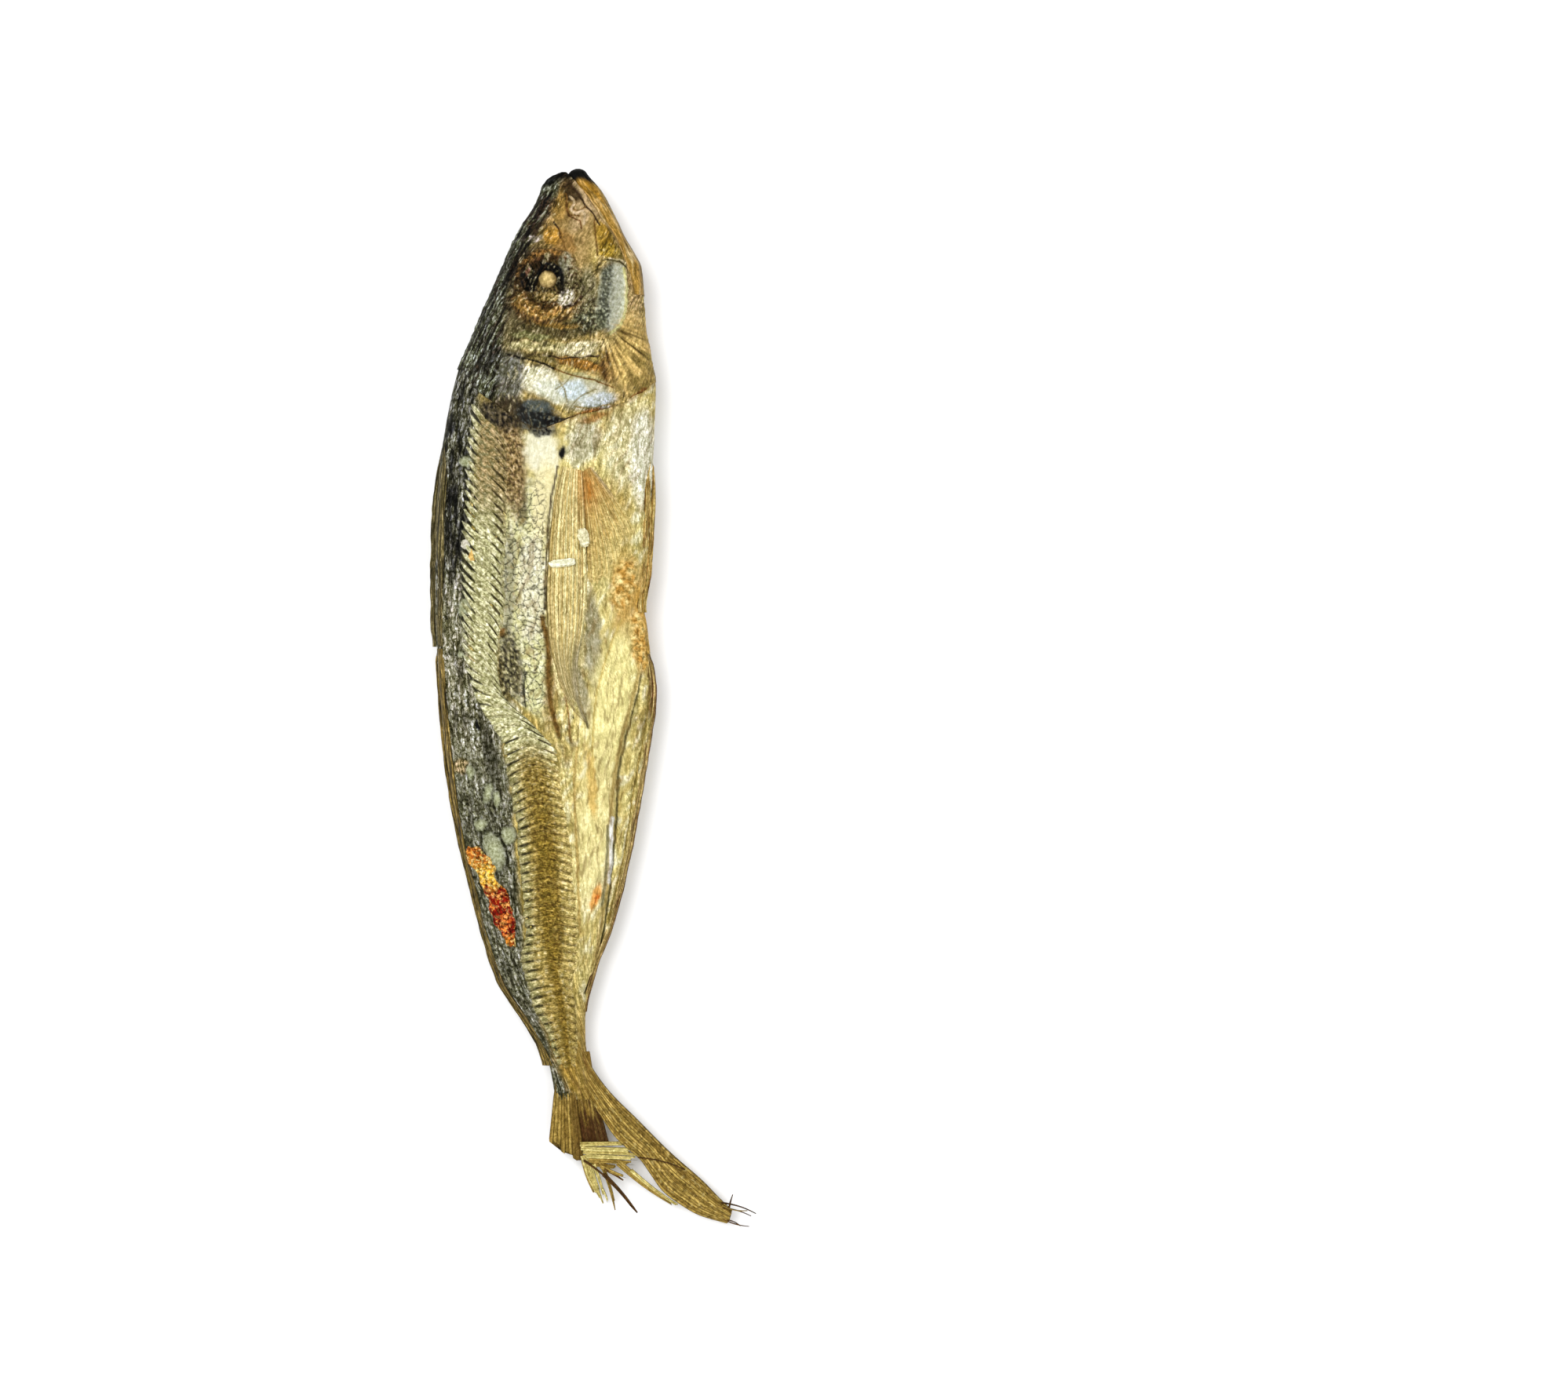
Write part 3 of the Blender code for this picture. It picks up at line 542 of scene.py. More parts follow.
def dried_finish(name, fibre, crack, depth, rough):
    """Paint broken up by fibres (width, length in mm), cracks (cell size in mm) and mottling, also as bumps."""
    material = bpy.data.materials.new(name)
    material.use_nodes = True
    tree = material.node_tree
    shader = tree.nodes["Principled BSDF"]
    tint = attribute(tree, "tint", "Color")
    place = attribute(tree, "place", "Vector")
    streak, crackle, mottle, gloss = (attribute(tree, key, "Fac") for key in FINISH)
    where = add(tree, "ShaderNodeTexCoord", {}).node.outputs["Object"]

    sway = add(tree, "ShaderNodeTexNoise", {"Vector": place, "Scale": 0.45, "Detail": 3.0}).node.outputs[
        "Color"
    ]
    bent = add(
        tree, "ShaderNodeVectorMath", {0: sway, 1: (1.9, 1.9, 0.0), 2: place}, operation="MULTIPLY_ADD"
    )
    along = add(tree, "ShaderNodeMapping", {"Vector": bent, "Scale": (1 / fibre[0], 1 / fibre[1], 1.0)})
    fibres = add(
        tree, "ShaderNodeTexNoise", {"Vector": along, "Scale": 1.0, "Detail": 3.0, "Roughness": 0.62}
    )
    even = add(
        tree, "ShaderNodeTexNoise", {"Vector": where, "Scale": 1500.0, "Detail": 3.0, "Roughness": 0.7}
    )
    shade = maths(
        tree, "MULTIPLY", contrast(tree, fibres, streak, 0.90, 0.70),
        contrast(tree, even, mottle, 0.90, 0.70)
    )
    strands = add(
        tree, "ShaderNodeTexNoise", {"Vector": along, "Scale": 0.62, "Detail": 2.0, "Roughness": 0.5}
    )
    crossing = maths(tree, "ABSOLUTE", maths(tree, "SUBTRACT", strands, 0.5))
    hair = maths(
        tree, "MULTIPLY", ramp(tree, crossing, 0.006, 0.036, 0.98, 0.0), ramp(tree, even, 0.38, 0.52)
    )
    shade = maths(
        tree, "MULTIPLY", shade, maths(tree, "SUBTRACT", 1.0, maths(tree, "MULTIPLY", hair, streak))
    )
    warm = add(tree, "ShaderNodeCombineColor", {0: shade, 1: shade, 2: maths(tree, "POWER", shade, 1.35)})
    colour = add(tree, "ShaderNodeVectorMath", {0: tint, 1: warm}, operation="MULTIPLY")

    net = add(tree, "ShaderNodeMapping", {"Vector": bent, "Scale": (1 / crack, 0.85 / crack, 1.0)})
    gap = add(tree, "ShaderNodeTexVoronoi", {"Vector": net, "Scale": 1.0}, feature="DISTANCE_TO_EDGE")
    broken = maths(tree, "MULTIPLY_ADD", even, 0.30, gap)
    cracks = maths(tree, "MULTIPLY", ramp(tree, broken, 0.14, 0.25, 1.0, 0.0), crackle)
    fade = ramp(tree, cracks, 0.0, 1.0, 1.0, 0.24)
    colour = add(tree, "ShaderNodeVectorMath", {0: colour, "Scale": fade}, operation="SCALE")
    tree.links.new(colour, shader.inputs["Base Color"])

    relief = maths(tree, "MULTIPLY_ADD", fibres, streak, maths(tree, "MULTIPLY", even, 0.5))
    relief = maths(
        tree, "SUBTRACT", relief, maths(tree, "MULTIPLY", hair, maths(tree, "MULTIPLY", streak, 0.6))
    )
    domes = maths(tree, "MULTIPLY", ramp(tree, gap, 0.0, 0.3), crackle)
    relief = maths(tree, "MULTIPLY_ADD", domes, 0.7, relief)
    bump = add(tree, "ShaderNodeBump", {"Height": relief, "Distance": depth * MM, "Strength": 1.0})
    tree.links.new(bump, shader.inputs["Normal"])
    tree.links.new(ramp(tree, gloss, 0.0, 1.0, rough + 0.22, rough - 0.12), shader.inputs["Roughness"])
    shader.inputs["Specular IOR Level"].default_value = DULL_SHINE
    return material


skin_finish = dried_finish("dried_skin", (0.55, 4.0), 1.45, 0.30, 0.50)
head_finish = dried_finish("drawn_head_skin", (0.50, 2.6), 1.1, 0.26, 0.46)
scute_finish = dried_finish("scute_bone", (0.3, 1.8), 0.8, 0.15, 0.52)
fin_finish = dried_finish("fin_ray", (0.24, 7.0), 1.6, 0.12, 0.44)
flesh_finish = dried_finish("torn_flesh", (0.5, 0.5), 0.7, 0.25, 0.36)
print("finishes:", [material.name for material in bpy.data.materials])

# %% [markdown]
# ## The trunk
#
# From the gill cover to the tail the body is one skin. Its ground coat runs from a slate back through the
# scale line's olive to a straw belly. The relief is laid on in the same zones as the paint, and wherever
# the relief dips the paint is darkened as painted shade, and where it rises the paint is lightened. The
# photograph shows one flank. Its bands, creases and stains are listed by place and size, and the hidden
# flank takes the same list, bent by other noise.

# %% Where the marks are on the trunk
TRUNK_PATCHES = (
    # what it is, centre (x, distance), half size, turn, colour, cover
    ("olive-brown skin by the gill", (-18.8, 58.5), (3.4, 8.0), 0, tone(146, 122, 76), 0.9),
    ("dark streaks beside the bare skin", (-15.6, 64.5), (1.4, 8.5), -4, tone(100, 92, 62), 0.8),
    ("dark soil under the blotch", (-17.4, 52.2), (3.0, 2.6), 20, tone(66, 58, 40), 0.9),
    ("green start of the scale line", (-22.4, 50.8), (2.6, 3.2), 20, tone(124, 120, 88), 0.95),
    ("bare white skin behind the gill", (-11.4, 57.6), (3.6, 4.4), -12, BONE, 1.0),
    ("pale skin in front of the fin", (-10.8, 68.0), (2.3, 8.5), 4, tone(250, 238, 184), 0.9),
    ("white folds at the fin's root", (-2.6, 55.6), (3.4, 4.4), 20, SILVER, 0.7),
    ("silver belly behind the gill", (6.2, 57.0), (5.0, 8.0), 0, BONE, 0.4),
    ("white edge of the belly", (9.4, 59.0), (2.6, 10.0), 0, tone(252, 250, 230), 0.7),
    ("bright rear belly", (-0.6, 146.0), (2.6, 6.5), 10, tone(250, 238, 186), 0.6),
    ("golden belly beside the fin", (3.4, 74.0), (3.8, 10.0), 0, tone(196, 164, 88), 0.55),
    ("rust fold behind the gill", (-0.2, 50.6), (3.4, 0.7), -18, tone(168, 116, 56), 0.8),
    # brown skin, partly painted shade in the hollow beside the fin
    ("brown skin and painted shade in the hollow beside the fin", (-9.2, 106.0), (1.7, 9.0), 4, tone(168, 138, 76), 0.6),
    ("grey seam right of the scale line", (-18.0, 88.0), (1.3, 15.0), 2, ASH, 0.7),
    ("bright scales by the fin", (-13.2, 84.0), (2.7, 9.0), 0, BONE, 0.8),
    ("round pale scale", (-13.3, 94.3), (1.9, 1.9), 0, BONE, 0.8),
    ("lower round scale", (-12.3, 106.5), (1.8, 2.0), 0, CREAM_GREEN, 0.8),
    ("grey skin before the bend", (-15.9, 104.0), (1.2, 4.6), 0, tone(126, 120, 90), 0.8),
    ("dark skin beside the rear line", (-21.6, 119.5), (1.5, 6.6), -10, tone(66, 64, 48), 0.8),
    ("white specks on the back", (-25.0, 114.6), (1.1, 1.8), -10, tone(214, 212, 196), 0.7),
    ("crack in the dark back", (-24.2, 113.4), (0.35, 1.3), -14, BLACK, 1.0),
    ("grey film under the fin's tip", (-5.6, 99.0), (4.2, 7.0), -6, tone(178, 166, 122), 0.6),
    ("grey groove beside the fin", (-0.6, 97.0), (1.7, 11.0), -4, tone(160, 154, 128), 0.75),
    ("grey groove behind the fin", (-3.0, 107.5), (1.5, 7.0), -18, tone(168, 160, 130), 0.75),
    ("amber skin low on the belly", (6.6, 88.5), (3.0, 7.6), 8, tone(204, 156, 76), 0.65),
    ("amber along the margin", (8.8, 93.0), (1.4, 9.0), 0, AMBER, 0.6),
    ("pale oval on the belly", (6.3, 94.6), (1.8, 2.0), 0, tone(222, 200, 128), 0.85),
    ("bright belly", (3.2, 109.0), (4.4, 13.5), 6, tone(255, 242, 166), 0.95),
    ("bright rear belly", (-0.6, 134.0), (3.6, 15.0), 8, tone(252, 238, 166), 0.8),
    ("amber notch", (9.6, 98.5), (1.0, 3.6), 0, AMBER, 0.8),
    ("red-brown belly edge", (11.0, 106.8), (0.7, 5.6), 0, BROWN, 0.9),
    ("fibres bare at the bend", (-18.6, 111.6), (3.0, 2.6), -38, BONE, 0.85),
    ("ringed spot", (-27.6, 121.9), (1.9, 1.4), 0, TAN, 0.7),
    ("amber stripe on the rear belly", (-1.0, 125.4), (1.0, 7.0), -4, tone(226, 184, 90), 0.75),
    ("orange spot on the rear belly", (-0.3, 148.6), (0.8, 2.8), 14, tone(252, 178, 84), 0.9),
    ("dark middle of the spot", (-0.1, 148.8), (0.3, 0.8), 14, tone(206, 104, 30), 0.9),
    ("brown dot", (-19.0, 94.6), (0.75, 0.8), 0, tone(140, 92, 22), 0.95),
    ("orange dot", (-25.4, 78.8), (0.6, 0.9), 0, AMBER, 0.8),
    ("dark pit at the fin's root", (-7.0, 58.0), (0.7, 1.3), 10, BLACK, 1.0),
    ("orange root of the fin", (-1.6, 65.0), (1.9, 3.6), 8, tone(204, 140, 56), 0.7),
)
BLISTERS = (
    ((-22.2, 127.3), (1.0, 1.9), 8), ((-20.4, 128.6), (0.8, 1.6), 0), ((-23.8, 133.7), (1.4, 1.2), 0),
    ((-20.8, 139.2), (1.9, 4.0), -20), ((-17.9, 136.0), (1.4, 1.7), 0), ((-25.6, 123.0), (0.9, 1.5), 0),
    ((-26.8, 59.8), (1.3, 1.1), 0), ((-26.9, 89.3), (1.3, 1.8), 14), ((-27.6, 99.0), (0.7, 0.7), 0),
)
TRUNK_LINES = (
    # what it is, half width, colour, depth in mm, (x, distance) points
    ("long belly crease", 0.22, DARK_OLIVE, 0.4,
     [(10.2, 99.0), (8.4, 107.0), (5.6, 118.1), (4.4, 125.5), (4.2, 130.5), (3.0, 144.0), (0.7, 160.3),
      (-2.4, 168.0)]),
    ("shadow inside the crease", 0.5, tone(196, 172, 104), 0.1,
     [(9.6, 99.0), (7.6, 107.0), (4.8, 118.1), (3.4, 127.5), (2.3, 144.0), (0.0, 160.3)]),
    ("brown shadow along the fin", 0.6, tone(120, 88, 36), 0.45,
     [(-11.2, 91.4), (-10.4, 95.0), (-9.9, 98.5), (-9.8, 104.0), (-9.4, 109.0), (-8.6, 112.4),
      (-7.7, 115.6)]),
    ("cream ridge beside the fin", 0.36, tone(248, 232, 168), -0.25,
     [(-8.8, 97.4), (-8.5, 101.0), (-8.0, 105.0), (-7.2, 109.6), (-6.8, 114.0)]),
    ("black line in the dark skin", 0.24, BLACK, 0.35, [(-14.4, 102.6), (-14.8, 106.0), (-14.6, 109.6)]),
    ("white line beside it", 0.2, BONE, -0.2, [(-15.2, 102.8), (-15.4, 106.4), (-15.2, 109.0)]),
    ("fold beside the fin's tip", 0.24, tone(140, 104, 48), 0.3,
     [(-7.4, 101.0), (-6.6, 106.0), (-5.8, 111.0), (-5.3, 117.0)]),
    (
        "line in the grey groove", 0.18, DARK_OLIVE, 0.3,
        [(-6.7, 101.0), (-4.5, 107.3), (-2.2, 112.4), (-1.9, 114.0)]
    ),
    ("fold inside the margin", 0.22, OLIVE, 0.2,
     [(10.8, 107.3), (9.2, 117.9), (7.4, 128.5), (5.3, 141.3), (2.2, 154.0)]),
    (
        "shadow line along the fin", 0.22, DARK_BROWN, 0.2,
        [(-7.9, 60.5), (-9.3, 68.0), (-10.1, 77.6), (-10.6, 90.0)]
    ),
    ("white fold on the rear belly", 0.42, tone(255, 253, 244), -0.3,
     [(3.1, 132.4), (2.9, 136.0), (2.9, 139.4), (2.5, 145.4)]),
    ("grey shadow beside the fold", 0.3, tone(150, 142, 100), 0.2,
     [(2.3, 134.0), (2.1, 139.0), (1.8, 145.0), (1.2, 150.0)]),
    ("fold on the cream belly", 0.2, GOLD, 0.2, [(5.0, 92.0), (1.6, 101.0), (-0.6, 112.0), (-1.0, 124.0)]),
    (
        "gold fold", 0.3, tone(206, 178, 104), 0.15,
        [(-3.9, 118.0), (-4.6, 126.0), (-3.9, 142.0), (-3.4, 156.0)]
    ),
    ("small dark slit", 0.14, BLACK, 0.2, [(-4.9, 111.2), (-4.8, 112.2)]),
)
ROUGH_SPOTS = (
    # what it is, centre (x, distance), half size, turn, ground, dark grains, pale grains
    ("dark cracked skin before the bend", (-18.0, 101.4), (2.5, 7.4), 0,
     tone(92, 84, 56), tone(34, 30, 20), tone(206, 196, 146)),
    ("brown skin by the gill", (-17.4, 60.5), (3.0, 9.5), -4,
     tone(150, 124, 76), tone(78, 60, 34), tone(204, 180, 132)),
    ("soil behind the gill", (-19.6, 49.8), (4.6, 3.1), 24,
     tone(66, 56, 40), tone(26, 22, 18), tone(124, 110, 82)),
    ("black blotch's end on the trunk", (-11.8, 53.1), (3.8, 1.3), 10,
     tone(30, 30, 28), tone(10, 10, 9), tone(104, 104, 94)),
    ("golden flakes on the belly", (5.6, 85.0), (2.5, 5.6), 10,
     tone(214, 176, 98), tone(184, 138, 60), tone(238, 212, 140)),
    ("golden flakes under the pale oval", (8.6, 96.0), (1.5, 6.0), -8,
     tone(216, 178, 98), tone(188, 140, 60), tone(240, 214, 142)),
)
print(
    len(TRUNK_PATCHES), "patches,", len(TRUNK_LINES), "lines and", len(ROUGH_SPOTS),
    "rough spots on the trunk"
)

# %% Trunk skin
TRUNK_START, TRUNK_ROWS, TRUNK_UPPER_STEPS, TRUNK_LOWER_STEPS = 39.0, 380, 184, 78
GILL_REAR = (
    (41.2, -26.8), (46.0, -23.5), (49.2, -19.0), (52.1, -15.0), (53.8, -11.0), (52.5, -7.5), (50.9, -3.9),
    (50.2, 0.1), (49.2, 3.5), (48.1, 6.4), (46.3, 9.2), (43.7, 11.7),
)


def gill_edge(x):
    """How far behind the snout the gill cover ends, over each x."""
    edge_at, edge_x = np.array(GILL_REAR).T
    return np.interp(x, edge_x, edge_at)


def trunk_zones(x, at, seed):
    """Covers, from 0 to 1, of the dark back, the cracked scales and the belly."""
    line, wide = through(SCUTE_LINE, at), through(SCUTE_HALF_WIDTH, at)
    sway = 0.8 * layered_noise(x * 0.3, at * 0.22, seed)
    edge = line - wide * (0.5 + 0.5 * smooth_step(104, 120, at)) + sway
    dark_back = 1 - smooth_step(-1.4, 0.9, x - edge)
    net = smooth_step(-0.4, 1.0, x - line - 0.8 * wide + sway) * (
        1 - smooth_step(-10.4, -9.2, x + 0.3 * sway)
    )
    net = net * smooth_step(60, 68, at) * (1 - smooth_step(108, 114, at))
    belly = smooth_step(-3.0, 1.5, x - line - wide * (1.15 - 0.25 * smooth_step(112, 125, at)) + sway)
    return dark_back, net, belly


def trunk_surface(x, at, place, height, seed):
    """Paint and relief of the trunk, and how streaked, crackled, mottled and glossy it is."""
    u, v = place[..., 0], place[..., 1]
    seen = as_seen(x, at, height)
    wx, wat = wander(*seen, seed + 3)
    lx, lat = wander(*seen, seed + 4, 0.16)
    dark_back, net, belly = trunk_zones(x, at, seed)
    fibres = layered_noise(u / 0.95, v / 5.0, seed + 11)
    salt = layered_noise(u / 0.9, v / 1.3, seed + 12, 2)
    broad = layered_noise(u / 5.0, v / 9.0, seed + 21)
    swirl = 1.6 * noise(u / 4.5, v / 6.0, seed + 23)
    slanting = layered_noise((u + 0.55 * v + swirl) / 1.5, (v - 0.55 * u + swirl) / 3.8, seed + 22, 2)
    rear = smooth_step(110, 124, at)
    bare = patch(wx, wat, (-11.0, 61.0), (4.4, 11.0), 2, 0.3)

    paint = lay(coat(OLIVE, x), GOLD, 0.5 + 0.6 * broad)
    paint = lay_all(paint, (
        (STRAW, belly * (0.7 + 0.5 * broad)),
        (BONE, belly * smooth_step(0.0, 0.6, slanting) * 0.55),
        (GOLD, belly * smooth_step(0.1, 0.7, -slanting) * 0.6),
        (CREAM_GREEN, net * (0.8 + 0.4 * broad)),
        (BONE, net * smooth_step(0.0, 0.5, salt) * 0.6),
        (ASH, net * smooth_step(0.25, 0.7, -broad - 0.3 * salt) * 0.7),
    ))
    margin = smooth_step(-2.0, -0.2, x - through(BELLY_EDGE, at)) * (1 - 0.6 * smooth_step(100, 112, at))
    paint = lay(paint, AMBER, margin * (0.4 + 0.5 * broad) * (0.3 + 0.7 * smooth_step(72, 86, at)))
    middle = smooth_step(76, 90, at) * (1 - smooth_step(122, 132, at))
    paint = lay_all(paint, (
        (SLATE, dark_back),
        (tone(128, 126, 108), dark_back * (1 - smooth_step(54, 66, at)) * 0.6),
        (tone(172, 166, 136), dark_back * middle * 0.9),
        (tone(116, 114, 90), dark_back * rear * 0.85),
        (ASH, dark_back * smooth_step(-0.1, 0.45, fibres + 0.3 * salt) * (0.55 + 0.1 * rear)),
        (SILVER, dark_back * smooth_step(0.35, 0.8, fibres + 0.4 * salt) * 0.5),
    ))
    black = 0.85 - 0.55 * rear - 0.3 * middle
    paint = lay(paint, BLACK, dark_back * smooth_step(0.0, 0.5, -fibres - 0.35 * broad) * black)
    speckle = layered_noise(x / 0.55, at / 0.7, seed + 24, 2)
    paint = lay(paint, tone(66, 64, 48), dark_back * rear * smooth_step(0.05, 0.45, -speckle) * 0.6)
    paint = lay(paint, tone(186, 184, 152), dark_back * rear * smooth_step(0.3, 0.65, speckle) * 0.6)
    stalk = smooth_step(166, 182, at)
    paint = lay(paint, tone(158, 124, 44), stalk * (1 - dark_back) * 0.8)
    paint = lay(paint, BROWN, stalk * (1 - dark_back) * smooth_step(0.0, 0.5, -fibres) * 0.6)
    # painted shadow: a darker brown band on the belly side just behind the gill cover's edge
    gill_shadow = (1 - smooth_step(0.0, 1.5, at - gill_edge(x))) * (0.7 + 0.5 * salt)
    paint = lay(paint, tone(150, 104, 50), belly * gill_shadow * 0.6)
    paint = lay_marks(paint, (wx, wat), (lx, lat), TRUNK_PATCHES, TRUNK_LINES)

    height = 0.22 * noise(u / 8.0, v / 13.0, seed + 31) - 1.0 * smooth_step(0.0, 1.6, gill_edge(x) - at)
    fine = 0.6 * wrinkles(u / 1.5, v / (9.0 - 5.0 * rear), seed + 32) + 0.4 * salt
    fine = (fine * (1 - 0.5 * belly) + 0.5 * belly * slanting) * (1 - 0.75 * bare)
    threads = wrinkles((u + 0.25 * v * belly + 0.6 * swirl) / 1.6, v / 9.0, seed + 35)
    threads = threads * (1 - bare) * (1 - 0.6 * rear * dark_back)
    paint = lay(paint, tone(140, 112, 54), belly * smooth_step(0.64, 0.92, threads) * 0.6)
    paint = lay(
        paint, tone(24, 24, 20), dark_back * smooth_step(0.66, 0.9, threads) * (0.8 - 0.35 * middle)
    )
    blistered = 0 * x
    for centre, half, turn in BLISTERS:
        inside = patch(wx, wat, centre, half, turn, 0.10)
        blistered = np.maximum(blistered, inside)
        around = patch(wx, wat, centre, (half[0] * 1.3, half[1] * 1.2), turn, 0.16) * (1 - inside)
        heart = patch(wx, wat, centre, (half[0] * 0.6, half[1] * 0.6), turn, 0.5)
        paint = lay(paint, tone(62, 62, 46), 0.8 * around)
        blister = lay(coat(tone(150, 152, 122), x), tone(184, 188, 148), heart)
        paint = lay(paint, blister, 0.9 * inside)
        height = height + 0.22 * inside
    rough = 0 * x
    grain = np.where(x > 0, layered_noise(x / 1.3, at / 1.6, seed + 25, 2), speckle)
    for _, centre, half, turn, ground, dark, pale in ROUGH_SPOTS:
        inside = patch(wx, wat, centre, half, turn, 0.35)
        rough = np.maximum(rough, inside)
        paint = lay_all(paint, (
            (ground, inside * 0.85),
            (dark, inside * smooth_step(0.0, 0.3, -grain)),
            (pale, inside * smooth_step(0.25, 0.5, grain) * 0.9),
        ))
    fine = fine * (1 - 0.75 * blistered)
    height = height + 0.10 * fine + 0.14 * belly * wrinkles(u / 4.0, v / 24.0, seed + 33)
    height = height + groove_depth(lx, lat, TRUNK_LINES)
    # painted shade and light: darker where the fine relief dips, paler where it rises
    paint = shaded(paint, 1 + (0.55 + 0.25 * dark_back - 0.20 * belly) * fine)
    smooth_belly = patch(wx, wat, (1.6, 118.0), (5.4, 38.0), 6, 0.4) * belly
    calm = (1 - 0.85 * blistered) * (1 - 0.7 * bare) * (1 - 0.45 * smooth_belly)
    return paint, height, {
        "streak": (
            0.50 + 0.50 * dark_back * (1 - 0.5 * rear - 0.3 * middle) - 0.1 * belly - 0.3 * net - 0.4 * rough
        )
        * calm,
        "crackle": (0.10 + 0.9 * net) * (1 - rough),
        "mottle": (0.45 + 0.55 * dark_back - 0.1 * net + 0.3 * rough - 0.25 * smooth_belly)
        * (1 - 0.5 * blistered - 0.7 * bare),
        "gloss": 0.35 + 0.35 * belly,
    }


trunk_at = np.linspace(TRUNK_START, BODY_END + 0.4, TRUNK_ROWS)[:, None]
trunk_x, trunk_side, trunk_points = around_fish(trunk_at, TRUNK_UPPER_STEPS, TRUNK_LOWER_STEPS)
trunk_place = place_on_skin(trunk_points, trunk_at, trunk_side, 1)
trunk_paint, trunk_relief, trunk_feel = trunk_surface(
    trunk_x, trunk_at + 0 * trunk_x, trunk_place, trunk_points[..., 2],
    np.where(trunk_side == UPPER, 0, 500)
)
trunk_skin = build_piece(
    "trunk_skin", [shell(push_out(trunk_points, trunk_relief), trunk_paint, trunk_place, **trunk_feel)],
    skin_finish
)
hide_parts("dried_mackerel")

# %% [markdown]
# ## The head
#
# Drying has shrunk the head's skin onto the bones, so the skull can be read through it: the ring round the
# eye, the oval of the cheek, the ridge behind it and the gill cover, whose rear edge stands off the trunk.
# The head is a second ring grid. Its rows all start at the snout and end on the gill cover's own edge, so
# that the edge is a row of the mesh and stays crisp.

